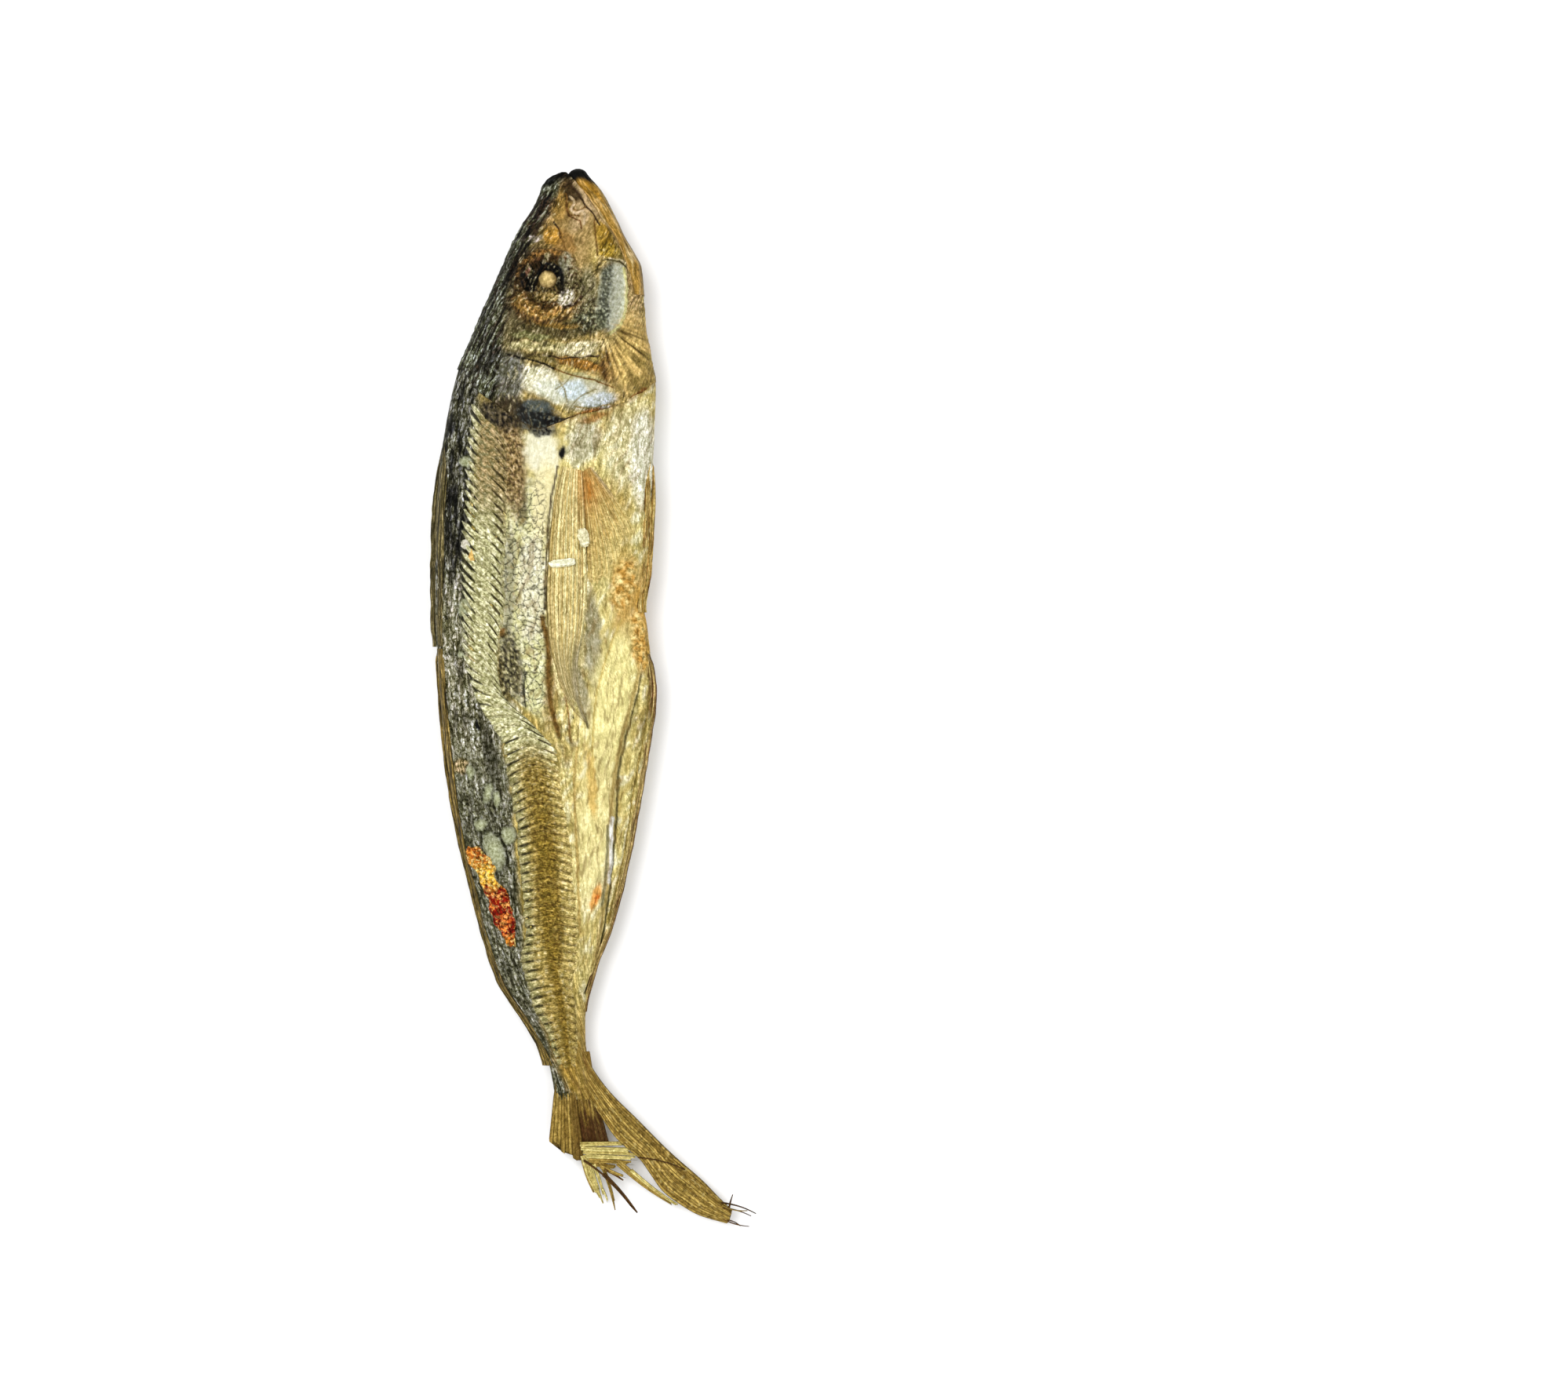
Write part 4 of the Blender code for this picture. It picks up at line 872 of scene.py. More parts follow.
# %% Where the marks are on the head
EYE_X, EYE_AT = -10.1, 23.0
GILL_PROUD = 0.25
HEAD_PATCHES = (
    # what it is, centre (x, distance), half size, turn, colour, cover
    ("brown snout", (-5.6, 10.0), (5.6, 10.5), 14, tone(150, 118, 66), 0.8),
    ("tan snout", (-3.2, 12.6), (3.4, 9.0), 12, tone(166, 138, 84), 0.85),
    ("pink folds of the snout", (-3.0, 8.6), (1.7, 4.4), 20, tone(190, 162, 118), 0.7),
    ("olive skin on the snout", (-7.0, 6.6), (1.6, 4.0), 18, tone(150, 116, 48), 0.7),
    ("grey corner of the jaw", (-9.6, 4.2), (1.9, 2.8), 24, SLATE, 0.9),
    ("pale fleck on the corner", (-9.5, 4.4), (0.5, 0.8), 0, SILVER, 0.8),
    ("dark patch at the nostril", (-14.0, 11.8), (2.6, 4.0), 28, tone(40, 28, 18), 0.95),
    ("tan nostril", (-13.5, 11.4), (0.7, 0.8), 0, tone(156, 118, 84), 0.9),
    ("brown snout ridge", (-11.2, 8.6), (1.8, 5.0), 28, tone(54, 40, 28), 0.85),
    ("dark skin at the mouth's tip", (-4.4, 3.8), (2.6, 3.2), 20, tone(48, 34, 20), 0.9),
    ("amber window before the cheek", (1.6, 14.6), (1.6, 4.0), -16, tone(166, 128, 34), 0.85),
    ("wide end of the window", (2.6, 16.8), (2.0, 1.6), -10, tone(172, 142, 48), 0.85),
    ("amber spot before the eye", (-8.8, 13.8), (1.9, 1.7), 30, tone(196, 146, 56), 0.9),
    ("brown skin under the spot", (-6.4, 15.6), (2.0, 3.0), 0, tone(146, 108, 52), 0.8),
    ("pinkish scar", (-13.0, 14.4), (2.0, 0.8), -14, tone(200, 186, 168), 0.9),
    ("grey skin between eye and cheek", (-2.2, 26.0), (2.2, 6.0), 6, tone(132, 126, 94), 0.85),
    ("lower end of the cheek", (-1.6, 31.2), (3.2, 2.2), 4, tone(100, 102, 76), 0.85),
    ("tan side of the jaw", (7.4, 26.5), (1.8, 9.0), 0, tone(216, 184, 126), 0.85),
    ("dark skin before the ridge", (-17.6, 31.6), (3.4, 5.0), 0, tone(92, 84, 60), 0.85),
    ("olive shadow under the eye", (-9.6, 32.9), (8.8, 2.4), -2, tone(78, 70, 38), 0.9),
    ("golden streak in the shadow", (-8.0, 31.8), (4.6, 0.6), 6, tone(156, 120, 52), 0.7),
    ("green fold under the eye", (-13.4, 34.2), (3.8, 0.7), 8, tone(142, 140, 88), 0.8),
    ("cream ridge", (-10.4, 36.4), (7.8, 1.0), 3, tone(206, 194, 138), 0.9),
    ("bright end of the ridge", (-3.2, 36.8), (4.8, 1.5), -8, tone(242, 228, 182), 0.95),
    ("cream under the cheek", (2.4, 35.6), (3.4, 1.1), -26, tone(214, 190, 126), 0.8),
    ("olive strip under the ridge", (-9.0, 38.6), (9.0, 0.9), 6, tone(126, 112, 66), 0.85),
    ("amber streak under the ridge", (-3.4, 39.8), (4.6, 1.0), 14, tone(180, 126, 50), 0.9),
    ("brown spots by the streak", (2.4, 40.4), (2.2, 3.4), 0, tone(120, 80, 34), 0.8),
    ("golden throat", (6.6, 37.0), (3.4, 7.4), 6, tone(198, 168, 96), 0.8),
    ("olive throat", (9.4, 41.6), (2.6, 4.6), -4, tone(146, 124, 62), 0.85),
    ("grey gill cover", (-18.0, 42.6), (4.0, 5.6), 10, tone(118, 118, 106), 0.95),
    ("cream on the gill cover", (-11.6, 43.0), (3.6, 2.9), 14, tone(252, 246, 214), 0.95),
    ("white on the gill cover", (-8.6, 45.4), (4.2, 2.2), 20, tone(232, 234, 212), 0.9),
    ("olive above the pearl", (-3.6, 42.8), (4.4, 1.2), 12, tone(192, 186, 136), 0.85),
    ("pale skin about the pearls", (-2.6, 46.2), (5.6, 3.0), 2, tone(214, 214, 192), 0.75),
    ("blue pearl", (-4.8, 45.2), (2.9, 2.2), 16, PEARL, 0.75),
    ("second pearl", (0.4, 47.4), (3.6, 1.7), -14, tone(206, 216, 222), 0.75),
    ("amber rim of the gill cover", (-0.6, 50.0), (4.4, 1.1), -12, tone(180, 116, 48), 0.95),
    ("dark soil above the blotch", (-17.6, 49.4), (4.0, 3.2), 24, tone(62, 52, 36), 0.95),
    ("black blotch", (-12.2, 50.3), (4.4, 3.1), 20, tone(26, 28, 26), 1.0),
    ("grey crown of the blotch", (-11.8, 48.3), (2.8, 1.3), 8, tone(80, 88, 84), 0.9),
    ("dark tip of the blotch", (-7.8, 51.8), (3.2, 1.2), 12, BLACK, 1.0),
    ("brown edge of the throat", (9.4, 45.6), (2.8, 0.7), -26, tone(124, 78, 28), 0.95),
)
HEAD_LINES = (
    # what it is, half width, colour, depth in mm, (x, distance) points
    ("upper lip", 0.5, tone(188, 160, 116), -0.3,
     [(-4.4, 2.6), (-3.2, 4.6), (-1.4, 7.4), (1.2, 10.4), (3.4, 12.8), (5.0, 15.2)]),
    ("line above the lip", 0.16, DARK_BROWN, 0.3, [(-4.9, 3.4), (-3.0, 6.4), (-0.6, 9.4), (0.6, 11.4)]),
    ("edge of the amber window", 0.16, BROWN, 0.2, [(-0.4, 10.4), (-0.2, 13.0), (0.2, 17.6)]),
    ("mouth", 0.2, DARK_BROWN, 0.4, [(-3.4, 2.4), (-2.0, 5.2), (0.3, 7.9), (3.2, 11.2), (5.4, 14.8)]),
    # painted highlight along the fold over the cheek
    ("painted highlight on the fold over the cheek", 0.22, tone(240, 222, 176), -0.3,
     [(2.6, 18.4), (5.2, 19.0), (7.6, 21.0), (8.0, 22.4)]),
    ("shadow over the cheek", 0.16, DARK_OLIVE, 0.25, [(1.4, 18.6), (4.0, 18.8), (6.2, 20.2)]),
    ("rim of the cheek", 0.3, tone(220, 214, 146), -0.2,
     [(5.4, 20.4), (6.0, 24.0), (5.9, 28.0), (4.8, 31.6), (2.8, 33.6)]),
    ("shadow before the cheek", 0.12, DARK_OLIVE, 0.1, [(0.4, 19.0), (0.2, 20.4)]),
    (
        "crease under the ridge", 0.2, BLACK, 0.35,
        [(-18.2, 37.8), (-15.0, 38.6), (-11.6, 39.4), (-8.6, 40.6)]
    ),
    (
        "line under the bright ridge", 0.18, DARK_BROWN, 0.3,
        [(-11.0, 37.9), (-7.0, 38.6), (-3.2, 38.4), (0.6, 38.0)]
    ),
    (
        "long line on the gill cover", 0.16, BROWN, 0.25,
        [(-8.6, 40.6), (-5.4, 42.0), (-1.0, 43.0), (3.4, 44.6)]
    ),
    ("cut across the pearl", 0.18, tone(138, 130, 88), 0.15, [(-7.6, 43.2), (-6.6, 45.0), (-6.0, 47.6)]),
    ("second cut", 0.18, tone(146, 138, 96), 0.15, [(-0.2, 45.0), (-2.6, 46.0), (-4.6, 47.8)]),
    ("third cut", 0.16, tone(146, 138, 96), 0.15, [(-5.4, 42.4), (-6.4, 43.6), (-8.4, 45.0)]),
    ("cut under the pearls", 0.16, tone(170, 146, 92), 0.15, [(-4.6, 48.4), (-1.0, 48.8), (2.8, 48.0)]),
    (
        "dark throat line", 0.26, tone(128, 80, 30), 0.3,
        [(11.8, 44.2), (9.6, 45.8), (7.4, 46.6), (6.2, 48.4)]
    ),
    ("brown fold behind the gill", 0.24, tone(150, 96, 40), 0.25, [(3.4, 49.0), (1.0, 49.6), (-0.6, 51.6)]),
    ("line beside the nostril", 0.2, DARK_BROWN, 0.2, [(-8.8, 10.8), (-7.6, 12.4), (-7.2, 14.2)]),
    ("fold of the snout", 0.18, BROWN, 0.25, [(-6.2, 5.0), (-6.0, 8.4), (-5.4, 9.4), (-3.4, 9.6)]),
    ("second fold of the snout", 0.16, BROWN, 0.25, [(-4.4, 6.4), (-4.8, 7.8), (-3.6, 8.4), (-2.2, 7.6)]),
    ("pink fold of the snout", 0.24, tone(204, 178, 140), -0.25,
     [(-5.4, 5.8), (-4.6, 6.8), (-5.2, 8.4), (-4.2, 9.2), (-3.0, 8.6), (-2.4, 9.8), (-2.7, 11.4)]),
    ("third fold of the snout", 0.16, tone(110, 74, 36), 0.25,
     [(-6.0, 7.0), (-5.8, 9.2), (-4.4, 10.2), (-3.4, 10.4), (-3.2, 12.2)]),
    (
        "brown line down the snout", 0.14, BROWN, 0.2,
        [(-7.6, 12.0), (-6.8, 15.0), (-5.6, 17.6), (-4.4, 18.6)]
    ),
)
print(len(HEAD_PATCHES), "patches and", len(HEAD_LINES), "lines on the head")

# %% [markdown]
# ## The eye's ring
#
# The eye is drawn in its own terms: how far from its middle, and which way. Going inwards there is a rusty
# fold, a dark mottled ring with a white patch at its lower right, a black crescent over the lens, and the
# lens's seat. The same distances give the folds their height.


# %% The eye's ring
def eye_ring(paint, x, at, seed):
    """The paint with the eye's ring laid on, and the ring's relief in mm."""
    away = np.hypot(x - EYE_X, at - EYE_AT)
    turn = np.arctan2(at - EYE_AT, x - EYE_X)
    away = away + 0.55 * layered_noise(x * 0.6, at * 0.6, seed) + 0.2 * np.sin(2 * turn)
    salt = layered_noise(x * 1.5, at * 1.5, seed + 2, 2)
    inside = 1 - smooth_step(6.3, 7.2, away)
    top = np.clip(-np.sin(turn), 0, 1)
    below = np.clip(np.sin(turn), 0, 1)
    paint = lay(paint, tone(98, 78, 42), 0.92 * inside)
    paint = lay(
        paint, tone(30, 23, 15), bell(away - 7.3, 1.8) * smooth_step(-0.2, 0.6, -np.cos(turn)) * 0.95
    )
    mottled = inside * smooth_step(0.1, 0.5, salt) * (0.3 + 0.5 * np.cos(turn - 0.5))
    paint = lay(paint, tone(172, 160, 106), mottled)
    paint = lay(paint, tone(36, 27, 16), inside * smooth_step(0.0, 0.35, -salt) * 0.9)
    fold = bell(away - 5.9, 0.6) * (0.1 + 0.9 * top) * (0.8 + 0.6 * salt)
    paint = lay_all(paint, (
        (tone(166, 120, 58), fold),
        (tone(64, 38, 16), bell(away - 5.0, 0.5) * (0.5 + 0.5 * top) * (0.8 + 0.4 * salt)),
        (tone(180, 180, 152), patch(x, at, (-6.4, 19.2), (1.2, 1.9), 20, 0.5) * (0.6 + 0.8 * salt)),
    ))
    beside = patch(x, at, (-5.6, 22.4), (1.9, 3.4), 0, 0.5)
    paint = lay(paint, tone(150, 140, 104), beside * (0.6 + 1.2 * salt))
    lower_fold = bell(away - 6.8, 1.4) * smooth_step(0.25, 0.75, below)
    paint = lay_all(paint, (
        (tone(192, 148, 74), lower_fold * (0.95 + 0.4 * salt)),
        (tone(80, 52, 26), bell(away - 5.2, 0.3) * smooth_step(0.2, 0.7, below) * 0.8),
        (tone(122, 84, 38), bell(away - 6.6, 0.25) * smooth_step(0.3, 0.8, below) * 0.7),
        (tone(92, 60, 30), bell(away - 8.2, 0.5) * smooth_step(0.3, 0.8, below) * 0.7),
        (tone(186, 158, 92), patch(x, at, (-9.8, 25.9), (2.6, 0.9), 0) * 0.7),
        (tone(80, 54, 26), patch(x, at, (-9.6, 27.0), (2.4, 0.4), 4) * 0.8),
        (tone(232, 222, 196), patch(x, at, (-6.2, 26.4), (1.6, 1.9), 24) * (0.9 + 0.4 * salt)),
    ))
    crescent = bell(away - 2.7, 1.05) * smooth_step(-0.25, 0.5, -np.sin(turn - 0.1))
    paint = lay_all(paint, (
        (BLACK, 1.25 * crescent),
        (BLACK, patch(x, at, (-9.8, 20.3), (2.9, 1.5), 12, 0.2) * 1.2),
        (BLACK, patch(x, at, (-14.0, 22.2), (1.7, 2.8), 0) * 1.2),
        (BLACK, patch(x, at, (-7.5, 23.2), (0.9, 2.3), -14) * 0.9),
        (tone(150, 108, 84), patch(x, at, (-14.1, 20.6), (0.4, 1.1), 10) * 0.8),
    ))
    slash = from_line(x, at, [(-6.6, 28.4), (-4.6, 27.6), (-3.0, 25.9)])
    paint = lay(paint, DARK_BROWN, 1 - smooth_step(0.15, 0.5, slash))
    rim = 0.5 * bell(away - 6.2, 0.9)
    bowl = -1.2 * (1 - smooth_step(3.2, 5.6, away))
    folds = 0.14 * np.sin(away * 4.2) * smooth_step(2.4, 3.4, away) * (1 - smooth_step(6.6, 7.8, away))
    ball = 0.75 * (1 - smooth_step(1.2, 2.8, away))
    return paint, rim + bowl + folds + ball + 0.1 * inside * salt - 0.25 * bell(slash, 0.35)


# %% Head skin
HEAD_ROWS, HEAD_UPPER_STEPS, HEAD_LOWER_STEPS = 300, 226, 90


def head_grid():
    """Plan of the head: each column runs from the snout to where its share of the width meets the gill."""
    x, side, _ = around_fish(np.array([[50.0]]), HEAD_UPPER_STEPS, HEAD_LOWER_STEPS)
    back, belly = through(BACK_EDGE, 50.0), through(BELLY_EDGE, 50.0)
    across = (2 * x[0] - back - belly) / (belly - back)
    edge_at, edge_x = edge_points(GILL_REAR, np.linspace(0, 1, 400))
    edge_back, edge_belly = through(BACK_EDGE, edge_at), through(BELLY_EDGE, edge_at)
    edge_across = (2 * edge_x - edge_back - edge_belly) / (edge_belly - edge_back)
    order = np.argsort(edge_across)
    end = np.interp(across, edge_across[order], edge_at[order])
    at = BODY_START + (end - BODY_START) * np.linspace(0, 1, HEAD_ROWS)[:, None]
    back, belly = through(BACK_EDGE, at), through(BELLY_EDGE, at)
    return (back + belly) / 2 + (belly - back) / 2 * across, at, side, end - at


DARK_CROWN = (
    (0, 2.0), (6, 3.6), (14, 3.8), (20, 3.8), (26, 4.8), (31.5, 6.6), (38, 8.6), (45, 9.6), (49, 9.0),
    (54, 7.6)
)


def head_surface(x, at, place, to_edge, over, seed):
    """Paint and relief of the head, and how streaked, crackled, mottled and glossy it is."""
    u, v = place[..., 0], place[..., 1]
    from_back = x - through(BACK_EDGE, at)
    x, at = as_seen(x, at, over)
    wx, wat = wander(x, at, seed + 3)
    lx, lat = wander(x, at, seed + 4, 0.2)
    salt = layered_noise(x / 0.75, at / 0.9, seed + 51, 2)
    grain = layered_noise(x / 0.5, at / 0.6, seed + 55, 2)
    broad = layered_noise(x / 4.0, at / 5.0, seed + 52)
    hair = layered_noise(u / 0.7, v / 6.0, seed + 53)
    dark = 1 - smooth_step(-1.2, 1.2, from_back + broad + 0.8 * hair - through(DARK_CROWN, at))
    cheek = np.abs((wx - 3.0 + 0.1 * (wat - 26.0)) / 3.3) ** 3 + np.abs((wat - 26.1) / 7.6) ** 3
    cheek = 1 - smooth_step(0.45, 1.2, cheek)
    throat = patch(wx, wat, (7.4, 38.0), (5.2, 9.0), 0, 0.4)
    blotch = patch(wx, wat, (-11.9, 50.4), (5.2, 3.2), 18, 0.2)
    pearl = patch(wx, wat, (-5.4, 44.8), (9.0, 3.6), 4, 0.35)

    paint = lay(coat(tone(176, 150, 98), x), GOLD, 0.4 + 0.7 * broad)
    paint = lay(paint, OLIVE, smooth_step(0.1, 0.6, -broad) * 0.7)
    paint = lay(paint, SLATE, dark)
    across_cheek = wx + 0.09 * (wat - 26.0)
    shine = lay(coat(tone(90, 94, 80), x), tone(190, 192, 170), smooth_step(1.8, 3.8, across_cheek))
    shine = lay(shine, tone(218, 222, 194), smooth_step(4.3, 5.3, across_cheek))
    shine = lay(shine, tone(156, 156, 128), 1 - smooth_step(0.0, 1.4, across_cheek))
    rough = 1 - 0.8 * smooth_step(2.2, 3.6, across_cheek)
    shine = lay(shine, tone(44, 48, 42), rough * smooth_step(0.1, 0.45, -grain) * 0.8)
    shine = lay(shine, tone(176, 180, 158), rough * smooth_step(0.2, 0.5, grain) * 0.7)
    paint = paint + (shine - paint) * (0.97 * cheek)[..., None]
    paint = lay_marks(paint, (wx, wat), (lx, lat), HEAD_PATCHES, HEAD_LINES)
    paint = lay(paint, tone(92, 98, 92), blotch * smooth_step(0.1, 0.45, 0.7 * grain + 0.5 * salt) * 0.6)
    under_eye = patch(wx, wat, (-1.6, 30.0), (3.4, 3.6), 30, 0.35)
    paint = lay(paint, tone(34, 34, 26), under_eye * smooth_step(-0.1, 0.3, -grain) * 0.85)
    paint = lay(paint, tone(176, 178, 146), under_eye * smooth_step(0.15, 0.5, grain) * 0.8)
    rim_light = 1 - smooth_step(0.8, 3.4, from_back)
    paint = lay(paint, tone(160, 164, 136), dark * smooth_step(0.05 - 0.2 * rim_light, 0.45, hair) * 0.8)
    paint = lay(
        paint, BLACK,
        dark * smooth_step(0.0, 0.4, -hair) * (0.95 - 0.4 * np.maximum(rim_light, smooth_step(24, 40, at)))
    )
    paint, eye_relief = eye_ring(paint, x, at, seed + 60)
    radius = np.hypot(x - 0.6, at - 31.0)
    turn = np.arctan2(at - 31.0, x - 0.6)
    rays = layered_noise(turn * 13.0, radius / 8.0, seed + 61, 2)
    fan = patch(x, at, (5.6, 39.0), (4.6, 6.8), 10, 0.3)
    paint = lay(paint, tone(206, 168, 98), throat * smooth_step(-0.2, 0.5, rays) * 0.6)
    paint = shaded(paint, 1 + 1.1 * fan * rays)
    paint = lay(paint, BLACK, 0.98 * (1 - smooth_step(1.6, 3.4, wat + 0.35 * (x + 7.0))))

    swirl = 1.4 * noise(x / 3.4, at / 3.4, seed + 46)
    snout = patch(x, at, (-3.4, 12.0), (5.0, 10.0), 12, 0.3)
    bare = 1 - np.clip(0.8 * cheek + 0.7 * pearl + 0.6 * blotch, 0, 1)
    fine = (1 - snout) * (0.5 * wrinkles(u / 1.3 + swirl, v / 3.6, seed + 42) + 0.6 * salt)
    fine = fine + snout * (0.8 * wrinkles(x / 1.9 + swirl, at / 2.6 - swirl, seed + 43) + 0.2 * salt)
    fine = fine * bare + 0.3 * (1 - bare) * salt
    threads = layered_noise((u + swirl) / 0.6, v / 2.2, seed + 54) * (1 - 0.7 * snout) * (1 - 0.6 * throat)
    paint = lay(paint, tone(52, 38, 20), bare * smooth_step(0.2, 0.6, threads + 0.3 * salt) * 0.75)
    paint = lay(
        paint, tone(228, 212, 164), bare * (1 - dark) * smooth_step(0.35, 0.75, 0.4 * salt - threads) * 0.45
    )
    # painted shade and light: darker where the fine relief dips, paler where it rises
    paint = shaded(paint, 1 + 0.60 * fine)

    height = 0.16 * noise(u / 5.0, v / 5.0, seed + 41) + 0.13 * fine + 0.25 * cheek + eye_relief
    height = height - 0.1 * bare * smooth_step(0.2, 0.6, threads)
    height = height + 0.12 * fan * rays + groove_depth(lx, lat, HEAD_LINES)
    ridge = from_line(wx, wat, [(-17.6, 35.8), (-10.0, 36.4), (-2.0, 37.0), (3.4, 35.2)])
    height = height + 0.35 * bell(ridge, 0.9)
    nostril = np.hypot(x + 13.5, at - 11.4)
    height = height + 0.45 * bell(nostril, 1.0) - 0.5 * bell(nostril, 0.4)
    lift = GILL_PROUD * (1 - smooth_step(0, 7, to_edge)) * (0.8 + 0.5 * noise(x / 5, at / 5, seed + 9))
    # the head skin is painted darker along the gill cover's rear edge
    near_gill_rim = 1 - smooth_step(0, 0.35, to_edge)
    paint = lay(paint, DARK_BROWN, 0.35 * near_gill_rim)
    return paint, height + lift, {
        "streak": np.clip(0.55 + 0.4 * dark - 0.25 * snout - 0.25 * throat, 0, 1) * bare,
        "crackle": 0.25 * bare * (1 - snout),
        "mottle": np.clip(
            0.6 + 0.35 * dark + 0.3 * (1 - smooth_step(6.5, 8, np.hypot(x - EYE_X, at - EYE_AT))), 0, 1
        )
        * (0.4 + 0.6 * bare) * (1 - 0.3 * snout) * (1 - 0.45 * throat),
        "gloss": 0.55 + 0.2 * snout,
    }


head_x, head_at, head_side, head_to_edge = head_grid()
head_points = in_space(head_x, head_at, skin_height(head_x, head_at, head_side))
head_place = place_on_skin(head_points, head_at, head_side, 0)
head_paint, head_relief, head_feel = head_surface(
    head_x, head_at, head_place, head_to_edge, head_points[..., 2], np.where(head_side == UPPER, 0, 700)
)
build_piece(
    "head_skin", [shell(push_out(head_points, head_relief), head_paint, head_place, **head_feel)],
    head_finish
)

# %% [markdown]
# ## The lower jaw
#
# The mouth has dried a little open, so the lower jaw is a bone of its own that runs along the throat and
# ends in a black tip just ahead of the snout. It is a slim tube between two plan curves, thickest at its
# hinge.

# %% Lower jaw
JAW_OUTER_EDGE = (
    (0.1, -3.4), (0.4, -2.5), (1.2, -1.9), (4.5, 0.9), (9.0, 3.4), (13.9, 5.7), (17.7, 7.9), (20.2, 9.1),
    (26.0, 9.7),
)
JAW_INNER_EDGE = ((0.1, -4.2), (0.5, -5.2), (1.3, -5.8), (6.4, -2.2), (10.4, 0.4), (14.6, 3.6), (26.0, 7.4))
JAW_SWELL = ((0.1, 0.6), (0.8, 1.5), (2, 1.9), (8, 3.0), (16, 4.2), (22, 4.6), (26.0, 4.0))

jaw_at = np.linspace(0.1, 26.0, 150)[:, None]
jaw_turn = np.linspace(0, 2 * np.pi, 80, endpoint=False)[None, :]
jaw_outer, jaw_inner = through(JAW_OUTER_EDGE, jaw_at), through(JAW_INNER_EDGE, jaw_at)
jaw_x = (jaw_outer + jaw_inner) / 2 + (jaw_outer - jaw_inner) / 2 * -np.cos(jaw_turn)
jaw_points = in_space(
    jaw_x, jaw_at, through(MID_HEIGHT, jaw_at) + through(JAW_SWELL, jaw_at) * np.sin(jaw_turn)
)
jaw_place = np.stack([jaw_turn * 3 + 0 * jaw_at, jaw_at + 0 * jaw_turn, 0 * jaw_x], axis=-1)
jaw_fibre = layered_noise(jaw_turn * 2.2, jaw_at / 5, 61)
jaw_fine = wrinkles(jaw_turn * 2.2, jaw_at / 6, 62)
jaw_share = (jaw_x - jaw_inner) / (jaw_outer - jaw_inner)
jaw_paint = lay(coat(tone(178, 138, 62), jaw_x), tone(208, 180, 124), smooth_step(0.0, 0.6, jaw_fibre))
jaw_paint = lay_all(jaw_paint, (
    (tone(166, 120, 30), (1 - smooth_step(5, 9, jaw_at)) * 0.8 * (jaw_share < 0.8)),
    (TAN, (1 - smooth_step(0.05, 0.4, jaw_share)) * smooth_step(3, 6, jaw_at)),
    (DARK_OLIVE, smooth_step(0.8, 1.0, jaw_share) * 0.7),
    (BLACK, 1 - smooth_step(2.0, 3.6, jaw_at + 0.6 * jaw_fibre)),
))
# painted shade and light: the jaw's paint is darker where its wrinkles dip and paler where they rise
build_piece("lower_jaw", [
    shell(
        push_out(jaw_points, 0.09 * jaw_fine), shaded(jaw_paint, 1 + 0.4 * jaw_fine), jaw_place, 0.5, 0.0,
        0.4, 0.6
    )
], head_finish)

# %% [markdown]
# ## The eyes
#
# A dried eye has lost its water: what is left is the hard lens, a tan bead, in a sunken ring of skin. The
# ring is part of the head's relief. The bead is a ball, slightly flattened and pitted, one on each flank.

# %% Lens beads
LENS_X, LENS_AT, LENS_RADIUS = -10.0, 22.6, 1.7


def bead(centre, radii, tint, seed, rough=0.05, rows=48, count=64, patchy=0.35):
    """A ball as rings of latitude: sine and cosine of two angles, with the radius bent by noise."""
    up = np.linspace(0.02, np.pi - 0.02, rows)[:, None]
    turn = np.linspace(0, 2 * np.pi, count, endpoint=False)[None, :]
    way = np.stack([np.sin(up) * np.cos(turn), np.sin(up) * np.sin(turn), np.cos(up) + 0 * turn], axis=-1)
    bumps = layered_noise(2.2 * way[..., 0] + 5, 2.2 * way[..., 1] + way[..., 2], seed)
    points = np.array(centre) + way * np.array(radii) * (1 + rough * bumps)[..., None]
    paint = shaded(np.broadcast_to(tint, bumps.shape + (3,)), 1 + patchy * bumps)
    return shell(points, paint, points, streak=0.0, crackle=0.0, mottle=0.35, gloss=0.8)


eye_lenses = []
lens_rings = np.linspace(0.02, np.pi - 0.02, 48)[:, None, None]
for side in (UPPER, LOWER):
    seat = float(skin_height(LENS_X, LENS_AT, side))
    lens_place = from_sight(LENS_X, LENS_AT, seat)
    centre = in_space(*lens_place, max(seat - side * 0.35, LENS_RADIUS * 0.75))
    tan_lens = coat(tone(216, 188, 122), lens_rings[..., 0])
    # painted shade: the lens is darker towards its sides
    dark_rim = lay(tan_lens, tone(84, 62, 30), np.sin(lens_rings[..., 0]) ** 3)
    eye_lenses.append(bead(centre, (1.85, 1.85, 1.25), dark_rim, 70 + side))
build_piece("eye_lenses", eye_lenses, head_finish)

# %% [markdown]
# ## The scale line
#
# A horse mackerel's lateral line carries keeled scales, called scutes. Dried, they stand up like the barbs
# of a feather: bony bars joined along the middle, with wedge-shaped dark gaps between them towards both
# sides. Seventy separate bars could be placed along a curve. One strip is chosen, in which each row is
# already bent like a bar and the bars are a saw-tooth along it, because neighbouring scutes grow out of one
# another.

